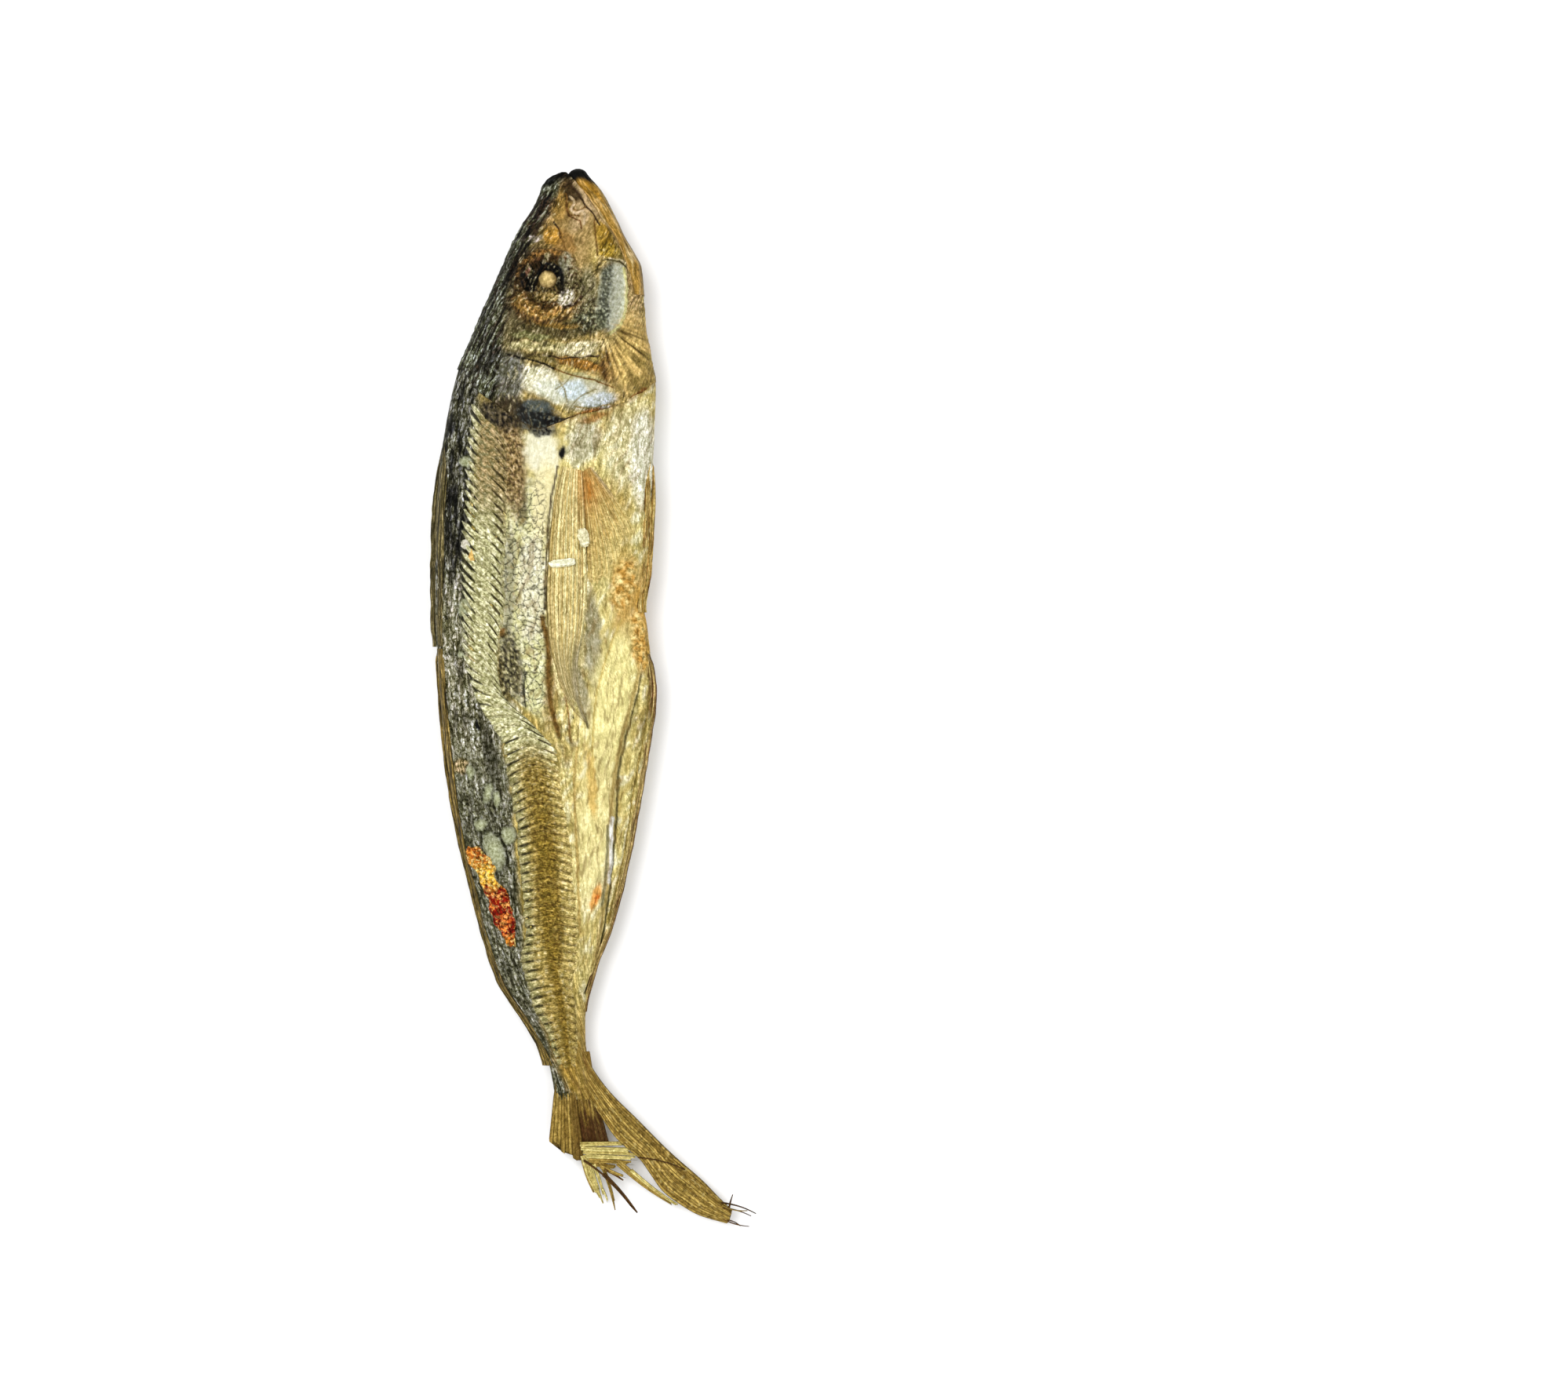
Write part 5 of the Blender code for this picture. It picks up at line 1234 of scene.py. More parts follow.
# %% Scutes on both flanks
SCUTE_START, SCUTE_END = 50.0, 186.0
SCUTE_PITCH_FRONT, SCUTE_PITCH_REAR = 2.15, 1.75
SCUTE_BACK_SWEEP = (
    (50, -4.8), (98, -4.8), (106, -2.6), (111, 0.2), (117, 2.4), (125, 2.8), (134, 1.8), (150, 1.2),
    (190, 0.8),
)
SCUTE_BELLY_SWEEP = ((50, 4.6), (102, 4.4), (112, 2.8), (120, 2.0), (130, 1.6), (190, 0.8))
SCUTE_BELLY_REACH = (
    (50, 1.0), (88, 1.0), (96, 0.78), (102, 0.85), (109, 1.2), (115, 1.1), (122, 1.0), (156, 1.0),
    (168, 0.65),
    (190, 0.65),
)
SCUTE_CREST, SCUTE_INSIDE = 0.34, 0.9


def scute_strip(side, rows=860, count=52):
    """Strip of swept rows: a saw-tooth along the line, cut by dark wedges towards both ends of each bar."""
    seed = 80 if side == UPPER else 880
    middle_at = np.linspace(SCUTE_START, SCUTE_END, rows)[:, None]
    across = np.linspace(-1, 1, count)[None, :]
    share = (middle_at - SCUTE_START) / (SCUTE_END - SCUTE_START)
    pitch = SCUTE_PITCH_FRONT + (SCUTE_PITCH_REAR - SCUTE_PITCH_FRONT) * share
    number = np.cumsum(np.gradient(middle_at[:, 0]) / pitch[:, 0])[:, None]
    left = (across < 0).astype(float)
    away = np.abs(across)
    front, rear = 1 - smooth_step(104, 112, middle_at), smooth_step(114, 124, middle_at)
    bend = 0.10 * noise(number / 2.5, across * 1.5, seed + 4)
    bar, along_bar = np.floor(number + 0.5 + bend), (number + bend) % 1
    uneven, second = scatter(bar, left, seed), scatter(bar, left, seed + 1)
    reach = through(SCUTE_HALF_WIDTH, middle_at) * (
        1 + 0.12 * noise(number / 3.0 + 9 * left, 0 * across, seed + 6)
    )
    reach = reach * np.where(
        left > 0, 1 + 0.35 * bell(middle_at - 167, 9), through(SCUTE_BELLY_REACH, middle_at)
    )
    sweep = left * through(SCUTE_BACK_SWEEP, middle_at) + (1 - left) * through(SCUTE_BELLY_SWEEP, middle_at)
    at = middle_at + sweep * away**1.25
    x = through(SCUTE_LINE, middle_at) + across * reach
    x = x + 0.12 * noise(x / 1.2, at / 1.2, seed + 8)

    starts = left * (0.12 + 0.16 * uneven + 0.36 * rear) + (1 - left) * (0.28 + 0.16 * uneven + 0.46 * rear)
    ends = left * (1.3 - 0.45 * rear) + (1 - left) * (0.98 + 0.1 * rear)
    run = np.clip((away - starts) / (ends - starts), 0, 1)
    lens = np.clip(np.sin(np.pi * run), 0, 1) ** 0.7
    wedge = left * front
    opened = wedge * smooth_step(0.0, 0.3, run) + (1 - wedge) * lens
    widest = left * (0.20 - 0.03 * rear) + (1 - left) * (0.16 - 0.01 * rear)
    smooth_bend = left * bell(middle_at - 112.0, 6.5) + (1 - left) * bell(middle_at - 100.0, 4.0)
    widest = widest * (0.45 - 0.15 * rear + 0.9 * second) * (1 - 0.97 * smooth_bend)
    tip = 0.84 + 0.18 * uneven
    gap_half = np.maximum(widest * opened, 0.5 * wedge * smooth_step(tip - 0.34, tip, away))
    from_gap = np.minimum(along_bar, 1 - along_bar)
    gap = (1 - smooth_step(gap_half * 0.7, gap_half + 0.05, from_gap)) * (gap_half > 0.02)
    strand = np.abs(np.sin(np.pi * (2.0 * along_bar + 0.5 * noise(number * 2.0, away * 3, seed + 7))))
    hairline = (1 - smooth_step(0.0, 0.3, strand)) * smooth_step(0.1, 0.35, away)
    hairline = hairline * (0.3 + 0.6 * second) * (0.7 + 0.5 * noise(number * 1.3, away * 4, seed + 12))
    hairline = hairline * (1 - 0.8 * left * bell(middle_at - 111, 4.5))

    salt = layered_noise(x / 0.8, at / 0.8, seed + 9, 2)
    broad = layered_noise(x / 3.0, at / 3.5, seed + 10)
    early = 1 - smooth_step(62, 76, middle_at + 2.5 * broad)
    dusk = smooth_step(124, 140, middle_at)
    paint = lay(coat(tone(226, 222, 168), x), tone(194, 170, 94), rear + 0 * x)
    paint = lay_all(paint, (
        (tone(160, 132, 82), early * (1 - 0.75 * left * smooth_step(0.25, 0.6, away)) * (0.8 + 0.3 * salt)),
        (tone(92, 72, 44), early * smooth_step(0.05, 0.4, -salt) * 0.6),
        (tone(206, 184, 134), early * smooth_step(0.2, 0.5, salt) * 0.5),
        (BONE, (1 - early) * smooth_step(0.1, 0.6, salt) * (0.5 - 0.2 * rear)),
    ))
    grit = layered_noise(x / 0.4, at / 0.4, seed + 13, 2)
    paint = lay(paint, tone(128, 118, 76), (1 - early) * (1 - rear) * smooth_step(0.15, 0.45, grit) * 0.6)
    narrow = 1 - 0.55 * smooth_step(150, 166, middle_at)
    centre = 1 - smooth_step(0.22 * narrow, 0.62 * narrow, away + 0.12 * broad)
    paint = lay_all(paint, (
        (tone(148, 122, 44), centre * rear * (0.65 + 0.35 * dusk + 0.3 * broad)),
        (tone(104, 82, 26), centre * rear * smooth_step(0.0, 0.5, -salt - 0.4 * broad) * 0.75),
        (tone(186, 158, 76), centre * rear * smooth_step(0.15, 0.45, grit) * 0.7),
        (tone(92, 62, 20), centre * rear * smooth_step(0.15, 0.45, -grit) * 0.7),
    ))
    outer_left = left * rear * smooth_step(0.3, 0.6, away)
    paint = lay(paint, tone(122, 110, 70), outer_left * smooth_step(-0.3, 0.4, -salt) * (0.7 - 0.35 * dusk))
    paint = lay(paint, tone(170, 166, 118), centre * front * smooth_step(0.0, 0.5, -salt) * 0.6)
    belly_end = (1 - left) * rear * smooth_step(0.35, 0.9, away)
    paint = lay(paint, tone(216, 194, 122), belly_end * 0.7)
    paint = lay(paint, tone(150, 122, 50), smooth_step(158, 178, middle_at + 3 * salt) * 0.5)
    back_tips = left * smooth_step(0.45, 0.8, away)
    paint = lay(paint, tone(214, 212, 176), back_tips * front * 0.6)
    paint = lay(paint, tone(190, 186, 136), back_tips * rear * (0.65 - 0.25 * salt))
    # the dark in the gaps is the slits' own colour and partly painted shade under the bar before
    dark_gap = lay(coat(tone(70, 60, 34), x), tone(24, 24, 20), left + 0 * x)
    gap_colour = lay(
        dark_gap, lay(coat(tone(122, 92, 36), x), tone(58, 56, 40), left + 0 * x), rear + 0 * x
    )
    # painted light and shade on the rear bars: each bar is paler in its middle and darker towards its gaps
    rib = rear * smooth_step(0.3, 0.55, away) * (1 - smooth_step(0.9, 1.0, away))
    paint = shaded(paint, 1 + rib * (1.5 * from_gap - 0.38) * (0.6 + 0.7 * second))
    paint = lay(paint, gap_colour, gap * (0.95 - 0.1 * rear))
    hair_colour = lay(coat(tone(104, 94, 54), x), tone(88, 74, 34), rear + 0 * x)
    paint = lay(paint, hair_colour, hairline * 0.85)
    fraying = smooth_step(0.84, 1.0, away + 0.1 * salt)
    paint = lay_all(paint, (
        (tone(84, 82, 64), left * fraying * 0.7),
        (tone(150, 138, 92), (1 - left) * (1 - rear) * fraying * 0.7),
        (tone(232, 214, 142), (1 - left) * rear * fraying * 0.8),
    ))
    # random salt-fine tone, and a painted highlight along one side of each bar
    paint = shaded(paint, 1 + 0.25 * salt + 0.16 * np.sin(2 * np.pi * (along_bar - 0.1)))

    height = SCUTE_CREST * (0.35 + 0.65 * along_bar**0.8) * (1 - 0.35 * away) * (1 - gap) - 0.12 * gap
    height = height - 0.5 * smooth_step(0.8, 1.0, away) + 0.05 * salt
    ends = smooth_step(0, 0.03, share) * (1 - smooth_step(0.95, 1.0, share))
    height = height * ends - 0.5 * (1 - ends)
    skin = skin_height(x, at, side)
    points, order = slab_on(x, at, skin + side * (height + 0.2), skin - side * SCUTE_INSIDE)
    place = np.stack([2.0 * along_bar + 3.4 * bar, 4.7 * across + 0 * at, 0 * at], axis=-1)
    return shell(points, paint[:, order], place[:, order], streak=0.45, crackle=0.0, mottle=0.65, gloss=0.5)


build_piece("scute_line", [scute_strip(UPPER), scute_strip(LOWER)], scute_finish)

# %% [markdown]
# ## Fins as bundles of rays
#
# Every fin is the same thing at another size: bony rays, each a thin rod, side by side in a skin. One
# function makes such a blade between two plan edges. The rays are ridges across it, the gaps between them
# are dark, and each ray may end at its own length, which is how the tail frays.


# %% The ray blade
def ray_blade(
    first_edge, second_edge, rays, rows, crest, colours, seed, lift=None, side=UPPER, proud=None,
    thickness=0.5, ragged=0.0, per_ray=7, shade=None,
):
    """A slab between two plan edges whose face is a row of ridges, one for each ray.

    It lies on a flank, proud of the skin by a curve along it, or is lifted to a height of its own along it.
    """
    count = rays * per_ray + 1
    across = np.linspace(0, 1, count)[None, :]
    share = np.linspace(0, 1, rows)[:, None]
    bent = across + 0.25 / rays * noise(across * 3, share * 3, seed + 3) * np.sin(np.pi * across)
    ray = np.clip(np.floor(bent * rays), 0, rays - 1)
    short = ragged * scatter(np.floor(across * rays - 1e-6), 0 * across, seed)
    along = share * (1 - short)
    first_at, first_x = edge_points(first_edge, along)
    second_at, second_x = edge_points(second_edge, along)
    at, x = first_at + (second_at - first_at) * across, first_x + (second_x - first_x) * across
    x, at = from_sight(x, at, skin_height(x, at, UPPER) if lift is None else through(lift, share))
    in_ray = bent * rays - ray
    round_top = np.sqrt(np.clip(1 - (2 * in_ray - 1) ** 2, 0, 1))
    split = bell(in_ray - 0.3 - 0.4 * scatter(ray, 3 + 0 * ray, seed), 0.09) * scatter(
        ray, 4 + 0 * ray, seed
    )
    wander_along = layered_noise(across * rays * 0.9, along * 7, seed + 1)
    salt = layered_noise(x / 0.7, at / 1.6, seed + 2, 2)
    edge_fade = smooth_step(0, 0.05, across) * (1 - smooth_step(0.95, 1, across))
    height = crest * (round_top - 0.5 * split) * (0.6 + 0.6 * scatter(ray, 1 + 0 * ray, seed))
    height = height + 0.04 * wander_along
    pale, ground, dark = colours
    bright = scatter(ray, 5 + 0 * ray, seed)
    # painted highlight: each ray is paler along its round top
    paint = lay(
        coat(ground, x), pale, smooth_step(0.5, 0.95, round_top) * (0.3 + 0.7 * bright + 0.4 * wander_along)
    )
    paint = lay(paint, dark, (1 - smooth_step(0.1, 0.56, round_top)) * (0.95 + 0.3 * wander_along))
    paint = lay(paint, dark, split * 0.9)
    paint = shaded(paint, 1 + 0.3 * salt + 0.3 * (bright - 0.5))
    if shade is not None:
        paint = shade(paint, share + 0 * across, across + 0 * share, wander_along)
    if lift is None:
        skin = skin_height(x, at, side)
        stand = (through(proud, share) + height) * (0.1 + 0.9 * edge_fade)
        points, order = slab_on(x, at, skin + side * stand, skin - side * thickness)
    else:
        middle = through(lift, share)
        slim = thickness / 2 * (1.15 - 0.5 * share) * (0.4 + 0.6 * edge_fade)
        points, order = slab_on(x, at, middle + slim + height, middle - slim - height, count)
    place = np.stack([across * rays * 0.6 + seed + 0 * share, along * 60 + 0 * across, 0 * x], axis=-1)
    return shell(points, paint[:, order], place[:, order], streak=0.35, crackle=0.0, mottle=0.35, gloss=0.6)


# %% [markdown]
# ## The breast fins
#
# The breast fin is folded back along the flank and has dried flat onto it. Its upper rays are long and
# golden and turn to grey film near the tip. The short lower rays spread as a fan from an orange root.

# %% Breast fins on both flanks
PECTORAL_BACK_EDGE = (
    (60.6, -7.2), (64.0, -8.1), (68.0, -8.9), (77.6, -9.8), (87.2, -10.3), (95.2, -9.8), (103.2, -8.1),
    (110.4, -4.9), (113.1, -2.2),
)
PECTORAL_BELLY_EDGE = (
    (61.6, -2.9), (69.6, -2.4), (77.6, -2.1), (85.6, -1.9), (93.6, -2.5), (101.6, -3.8), (108.8, -3.0),
    (113.3, -1.8),
)
FAN_BACK_EDGE = ((61.8, -2.9), (69.6, -2.4), (77.6, -2.0), (88.0, -1.6))
FAN_BELLY_EDGE = ((60.8, -1.2), (64.5, 2.0), (68.5, 5.0), (73.0, 7.8), (77.0, 9.0))
RAY_COLOURS = (tone(250, 236, 172), tone(216, 186, 110), tone(92, 66, 26))
FAN_COLOURS = (tone(244, 220, 144), tone(208, 172, 94), tone(104, 72, 28))


def fade_to_film(paint, share, across, wander_along):
    """Golden at the root, grey-tan and thin towards the tip, with a dark line along the back edge."""
    film = smooth_step(0.5, 0.75, share + 0.1 * wander_along - 0.1 * across)
    paint = lay(paint, tone(176, 158, 106), 0.7 * film)
    root = smooth_step(0.55, 1.0, across + 0.2 * wander_along) * (1 - smooth_step(0.08, 0.3, share))
    paint = lay(paint, tone(206, 140, 52), 0.55 * root)
    grey = bell(across - 1.25 + 0.55 * smooth_step(0.5, 0.95, share), 0.2) * smooth_step(0.45, 0.6, share)
    paint = lay(paint, tone(160, 150, 118), 0.75 * grey)
    return lay(paint, DARK_BROWN, 0.85 * (1 - smooth_step(0.01, 0.05, across)) * (1 - film))


def orange_root(paint, share, across, wander_along):
    """Orange at the root, fading to gold and then to the belly's own straw."""
    glow = bell(share - 0.14, 0.2) * (0.35 + 0.65 * bell(across - 0.3, 0.3))
    paint = lay(paint, tone(198, 128, 44), glow * (0.8 + 0.4 * wander_along))
    paint = lay(paint, STRAW, 0.4 * smooth_step(0.6, 1.1, share + 0.35 * across + 0.1 * wander_along))
    return lay(paint, SILVER, 0.4 * smooth_step(0.8, 1.0, across) * (1 - smooth_step(0.2, 0.5, share)))


for name, side, seed in (("near_breast_fin", UPPER, 101), ("hidden_breast_fin", LOWER, 151)):
    build_piece(name, [
        ray_blade(
            PECTORAL_BACK_EDGE, PECTORAL_BELLY_EDGE, 10, 200, 0.22, RAY_COLOURS, seed, side=side,
            proud=((0, 0.1), (0.06, 0.4), (0.6, 0.3), (1, 0.0)), shade=fade_to_film,
        ),
        ray_blade(
            FAN_BACK_EDGE, FAN_BELLY_EDGE, 14, 130, 0.15, FAN_COLOURS, seed + 7, side=side,
            proud=((0, 0.15), (0.1, 0.3), (0.75, 0.2), (1, -0.25)), shade=orange_root,
        ),
    ], fin_finish)

# %% [markdown]
# ## Folded fins along the back and the belly
#
# The two back fins, the belly fin and the anal fin have folded into strips. A strip wraps the edge of the
# body: it stands a millimetre outside the outline and reaches over each flank, with the folded spines as
# fine lengthwise ridges.


# %% Folded fins
def folded_fin(edge, reach, stands_out, outward, inside, colours, seed, spines=6, rows=300, dark_rim=0.0):
    """A sleeve over the body's edge: rows along the fish, columns from one flank round to the other."""
    at = np.linspace(*reach, rows)[:, None]
    share = np.linspace(0, 1, spines * 7 + 1)[None, :]
    ends = smooth_step(0, 0.03, (at - reach[0]) / (reach[1] - reach[0]))
    tip = through(stands_out, at) * ends * (1 + 0.18 * layered_noise(at / 5, 0 * share[:, :1], seed + 4))
    deep = through(inside, at)
    out = -deep + (deep + tip) * share**0.8
    x = through(edge, at) + outward * out
    middle = through(MID_HEIGHT, at)
    phase = share * spines + 1.0 * noise(share * 3, at / 12, seed)
    ridge = np.abs(np.sin(np.pi * phase))
    salt = layered_noise(share * 12, at / 2.2, seed + 1)
    bulge = 0.75 * np.sqrt(np.clip(1 - (np.clip(out, 0, None) / (tip + 0.05)) ** 2, 0, 1))
    cover = 0.2 * smooth_step(0, 0.2, share) + 0.14 * ridge
    stand = np.where(out > 0, bulge + 0.1 * ridge, cover)
    above = np.maximum(skin_height(x, at, UPPER), middle) + stand
    below = np.minimum(skin_height(x, at, LOWER), middle) - stand
    points, order = slab_on(x, at, above, below, x.shape[1])
    pale, ground, dark = colours
    paint = lay(coat(ground, x), pale, smooth_step(0.5, 1.0, ridge) * (0.55 + 0.7 * salt))
    paint = lay_all(paint, (
        (dark, (1 - smooth_step(0.1, 0.62, ridge)) * (0.85 + 0.4 * salt)),
        (dark, smooth_step(0.2, 0.6, layered_noise(share * 3, at / 6, seed + 2)) * 0.55),
        (dark, dark_rim * smooth_step(0.74, 0.94, share + 0.1 * salt)),
    ))
    paint = shaded(paint, 1 + 0.3 * salt)
    place = np.stack([share * 5 + seed + 0 * at, at + 0 * share, 0 * x], axis=-1)
    return shell(points, paint[:, order], place[:, order], streak=0.7, crackle=0.0, mottle=0.5, gloss=0.5)


BACK_FIN_COLOURS = (tone(164, 148, 98), tone(100, 90, 54), tone(28, 26, 18))
REAR_FIN_COLOURS = (tone(188, 158, 82), tone(116, 98, 54), tone(44, 38, 26))
BELLY_FIN_COLOURS = (tone(242, 218, 140), tone(204, 166, 86), tone(126, 84, 34))
ANAL_FIN_COLOURS = (tone(242, 218, 146), tone(214, 182, 110), tone(98, 52, 28))

build_piece("folded_fins", [
    folded_fin(BACK_EDGE, (56.0, 97.5), ((56.0, 0.1), (66.0, 0.9), (84.0, 1.2), (97.5, 1.0)), -1,
               ((56, 0.6), (62, 2.0), (97.5, 2.2)), BACK_FIN_COLOURS, 210),
    folded_fin(BACK_EDGE, (97.9, 183.0),
               ((97.9, 0.5), (120.0, 0.7), (165.0, 0.9), (178.0, 1.0), (183.0, 1.5)), -1,
               ((97.9, 1.6), (120, 1.5), (140, 0.8), (183, 0.8)), REAR_FIN_COLOURS, 220, spines=4, rows=460),
    folded_fin(BELLY_EDGE, (60.0, 90.5), ((60.0, 0.2), (68.0, 0.9), (80.0, 1.0), (90.5, 0.6)), 1,
               ((60, 0.6), (66, 1.6), (90.5, 1.4)), BELLY_FIN_COLOURS, 230, spines=4),
    folded_fin(BELLY_EDGE, (99.0, 172.0),
               ((99.0, 0.3), (107.0, 0.9), (125.0, 0.6), (150.0, 0.7), (172.0, 0.4)), 1,
               ((99.0, 0.5), (172.0, 0.5)), ANAL_FIN_COLOURS, 240, spines=3, rows=420, dark_rim=0.9),
], fin_finish)

# %% [markdown]
# ## The tail
#
# The tail fin is forked. One lobe is whole and sweeps to the side, the other has broken off short, and the
# torn rays between them have splayed. Each lobe is a ray blade. Each torn ray is a narrow blade between two
# points that bends a little and ends in a ragged tip, and each starts inside a lobe or a thicker bundle, so
# nothing floats.

# %% Tail lobes and torn rays
SHORT_LOBE_BACK_EDGE = (
    (177.0, -10.2), (182.0, -8.8), (186.0, -8.5), (190.0, -8.9), (194.0, -9.3), (198.6, -9.8)
)
SHORT_LOBE_INNER_EDGE = ((177.0, -5.0), (184.0, -4.6), (190.0, -4.0), (198.0, -3.0), (203.8, -2.4))
WEB_BACK_EDGE = ((180.0, -5.4), (186.0, -4.6), (192.0, -3.8), (198.9, -3.2))
WEB_INNER_EDGE = ((180.0, -1.4), (186.0, -0.4), (192.0, 0.8), (195.4, 1.7), (198.9, 2.6))
LONG_LOBE_OUTER_EDGE = (
    (178.0, -3.4), (182.2, -1.5), (187.6, 2.2), (193.9, 8.4), (200.6, 15.1), (206.5, 21.8), (210.0, 25.2),
    (212.4, 27.8),
)
LONG_LOBE_INNER_EDGE = (
    (180.0, -6.0), (186.0, -3.4), (190.6, -0.8), (195.0, 2.0), (197.5, 3.8), (199.7, 6.1), (202.0, 8.8),
    (205.1, 11.0),
    (208.3, 13.3), (211.4, 17.3), (213.4, 20.9), (215.2, 26.9),
)
TAIL_COLOURS = (tone(214, 182, 96), tone(138, 108, 42), tone(54, 40, 14))
PALE_TAIL_COLOURS = (tone(244, 230, 150), tone(208, 184, 100), tone(108, 84, 34))
DARK_TAIL_COLOURS = (tone(118, 82, 40), tone(66, 44, 20), tone(26, 17, 9))


def dark_outer_base(paint, share, across, wander_along):
    """Slate at the root of the short lobe on its back side, and brown where it meets the web."""
    back_side = (1 - smooth_step(0.2, 0.8, across + 0.3 * wander_along)) * (
        1 - smooth_step(0.3, 0.75, share)
    )
    paint = lay(paint, tone(62, 54, 36), 0.85 * back_side)
    inner = smooth_step(0.5, 0.9, across + 0.2 * wander_along) * smooth_step(0.3, 0.6, share)
    return lay(paint, tone(92, 66, 28), 0.6 * inner)


def dark_web(paint, share, across, wander_along):
    """Golden at the root, and dark red-brown near the torn end."""
    paint = lay(paint, tone(132, 102, 40), 0.7 * (1 - smooth_step(0.3, 0.6, share)))
    return lay(paint, tone(62, 30, 14), 0.9 * smooth_step(0.45, 0.8, share + 0.2 * wander_along))


def dark_outer_line(paint, share, across, wander_along):
    """A thin dark line along the outer edge of the long lobe, and brown specks over it."""
    paint = lay(paint, DARK_BROWN, 0.7 * (1 - smooth_step(0.01, 0.04, across)))
    specks = smooth_step(0.2, 0.5, layered_noise(share * 70, across * 9, 321))
    paint = lay(paint, tone(90, 70, 30), 0.7 * specks * smooth_step(0.1, 0.3, share))
    paint = lay(
        paint, tone(222, 200, 128), 0.5 * smooth_step(0.4, 0.8, layered_noise(share * 50, across * 8, 322))
    )
    return lay(paint, BROWN, 0.7 * (1 - smooth_step(0.05, 0.22, share + 0.05 * wander_along)))


def torn_ray(start, end, start_width, end_width, colours, seed, bend, strands, ragged=0.25, thickness=0.5):
    """A narrow ray blade between two (distance, x, height) points, bowed sideways by a bend."""
    start, end = np.array(start, float), np.array(end, float)
    run = end - start
    aside = np.array([-run[1], run[0]]) / np.hypot(run[0], run[1])
    share = np.linspace(0, 1, 6)
    middle = start[:2] + run[:2] * share[:, None] + aside * (bend * np.sin(np.pi * share))[:, None]
    half = (start_width + (end_width - start_width) * share)[:, None] / 2
    lift = [(s, start[2] + run[2] * s) for s in share]
    edges = [[tuple(point) for point in middle + sign * aside * half] for sign in (-1, 1)]
    return ray_blade(
        *edges, strands, 30, 0.12, colours, seed, lift=lift, ragged=ragged, thickness=thickness, per_ray=6
    )


build_piece("tail_lobes", [
    ray_blade(SHORT_LOBE_BACK_EDGE, SHORT_LOBE_INNER_EDGE, 9, 110, 0.16, TAIL_COLOURS, 301,
              lift=((0, 5.6), (0.35, 5.5), (1, 3.9)), thickness=0.7, ragged=0.07, shade=dark_outer_base),
    ray_blade(WEB_BACK_EDGE, WEB_INNER_EDGE, 7, 90, 0.16, TAIL_COLOURS, 306,
              lift=((0, 5.6), (0.35, 5.4), (1, 3.8)), thickness=0.6, ragged=0.03, shade=dark_web),
    ray_blade(LONG_LOBE_OUTER_EDGE, LONG_LOBE_INNER_EDGE, 11, 190, 0.15, TAIL_COLOURS, 311,
              lift=((0, 5.9), (0.2, 5.5), (1, 3.2)), thickness=0.8, ragged=0.012, shade=dark_outer_line),
], fin_finish)

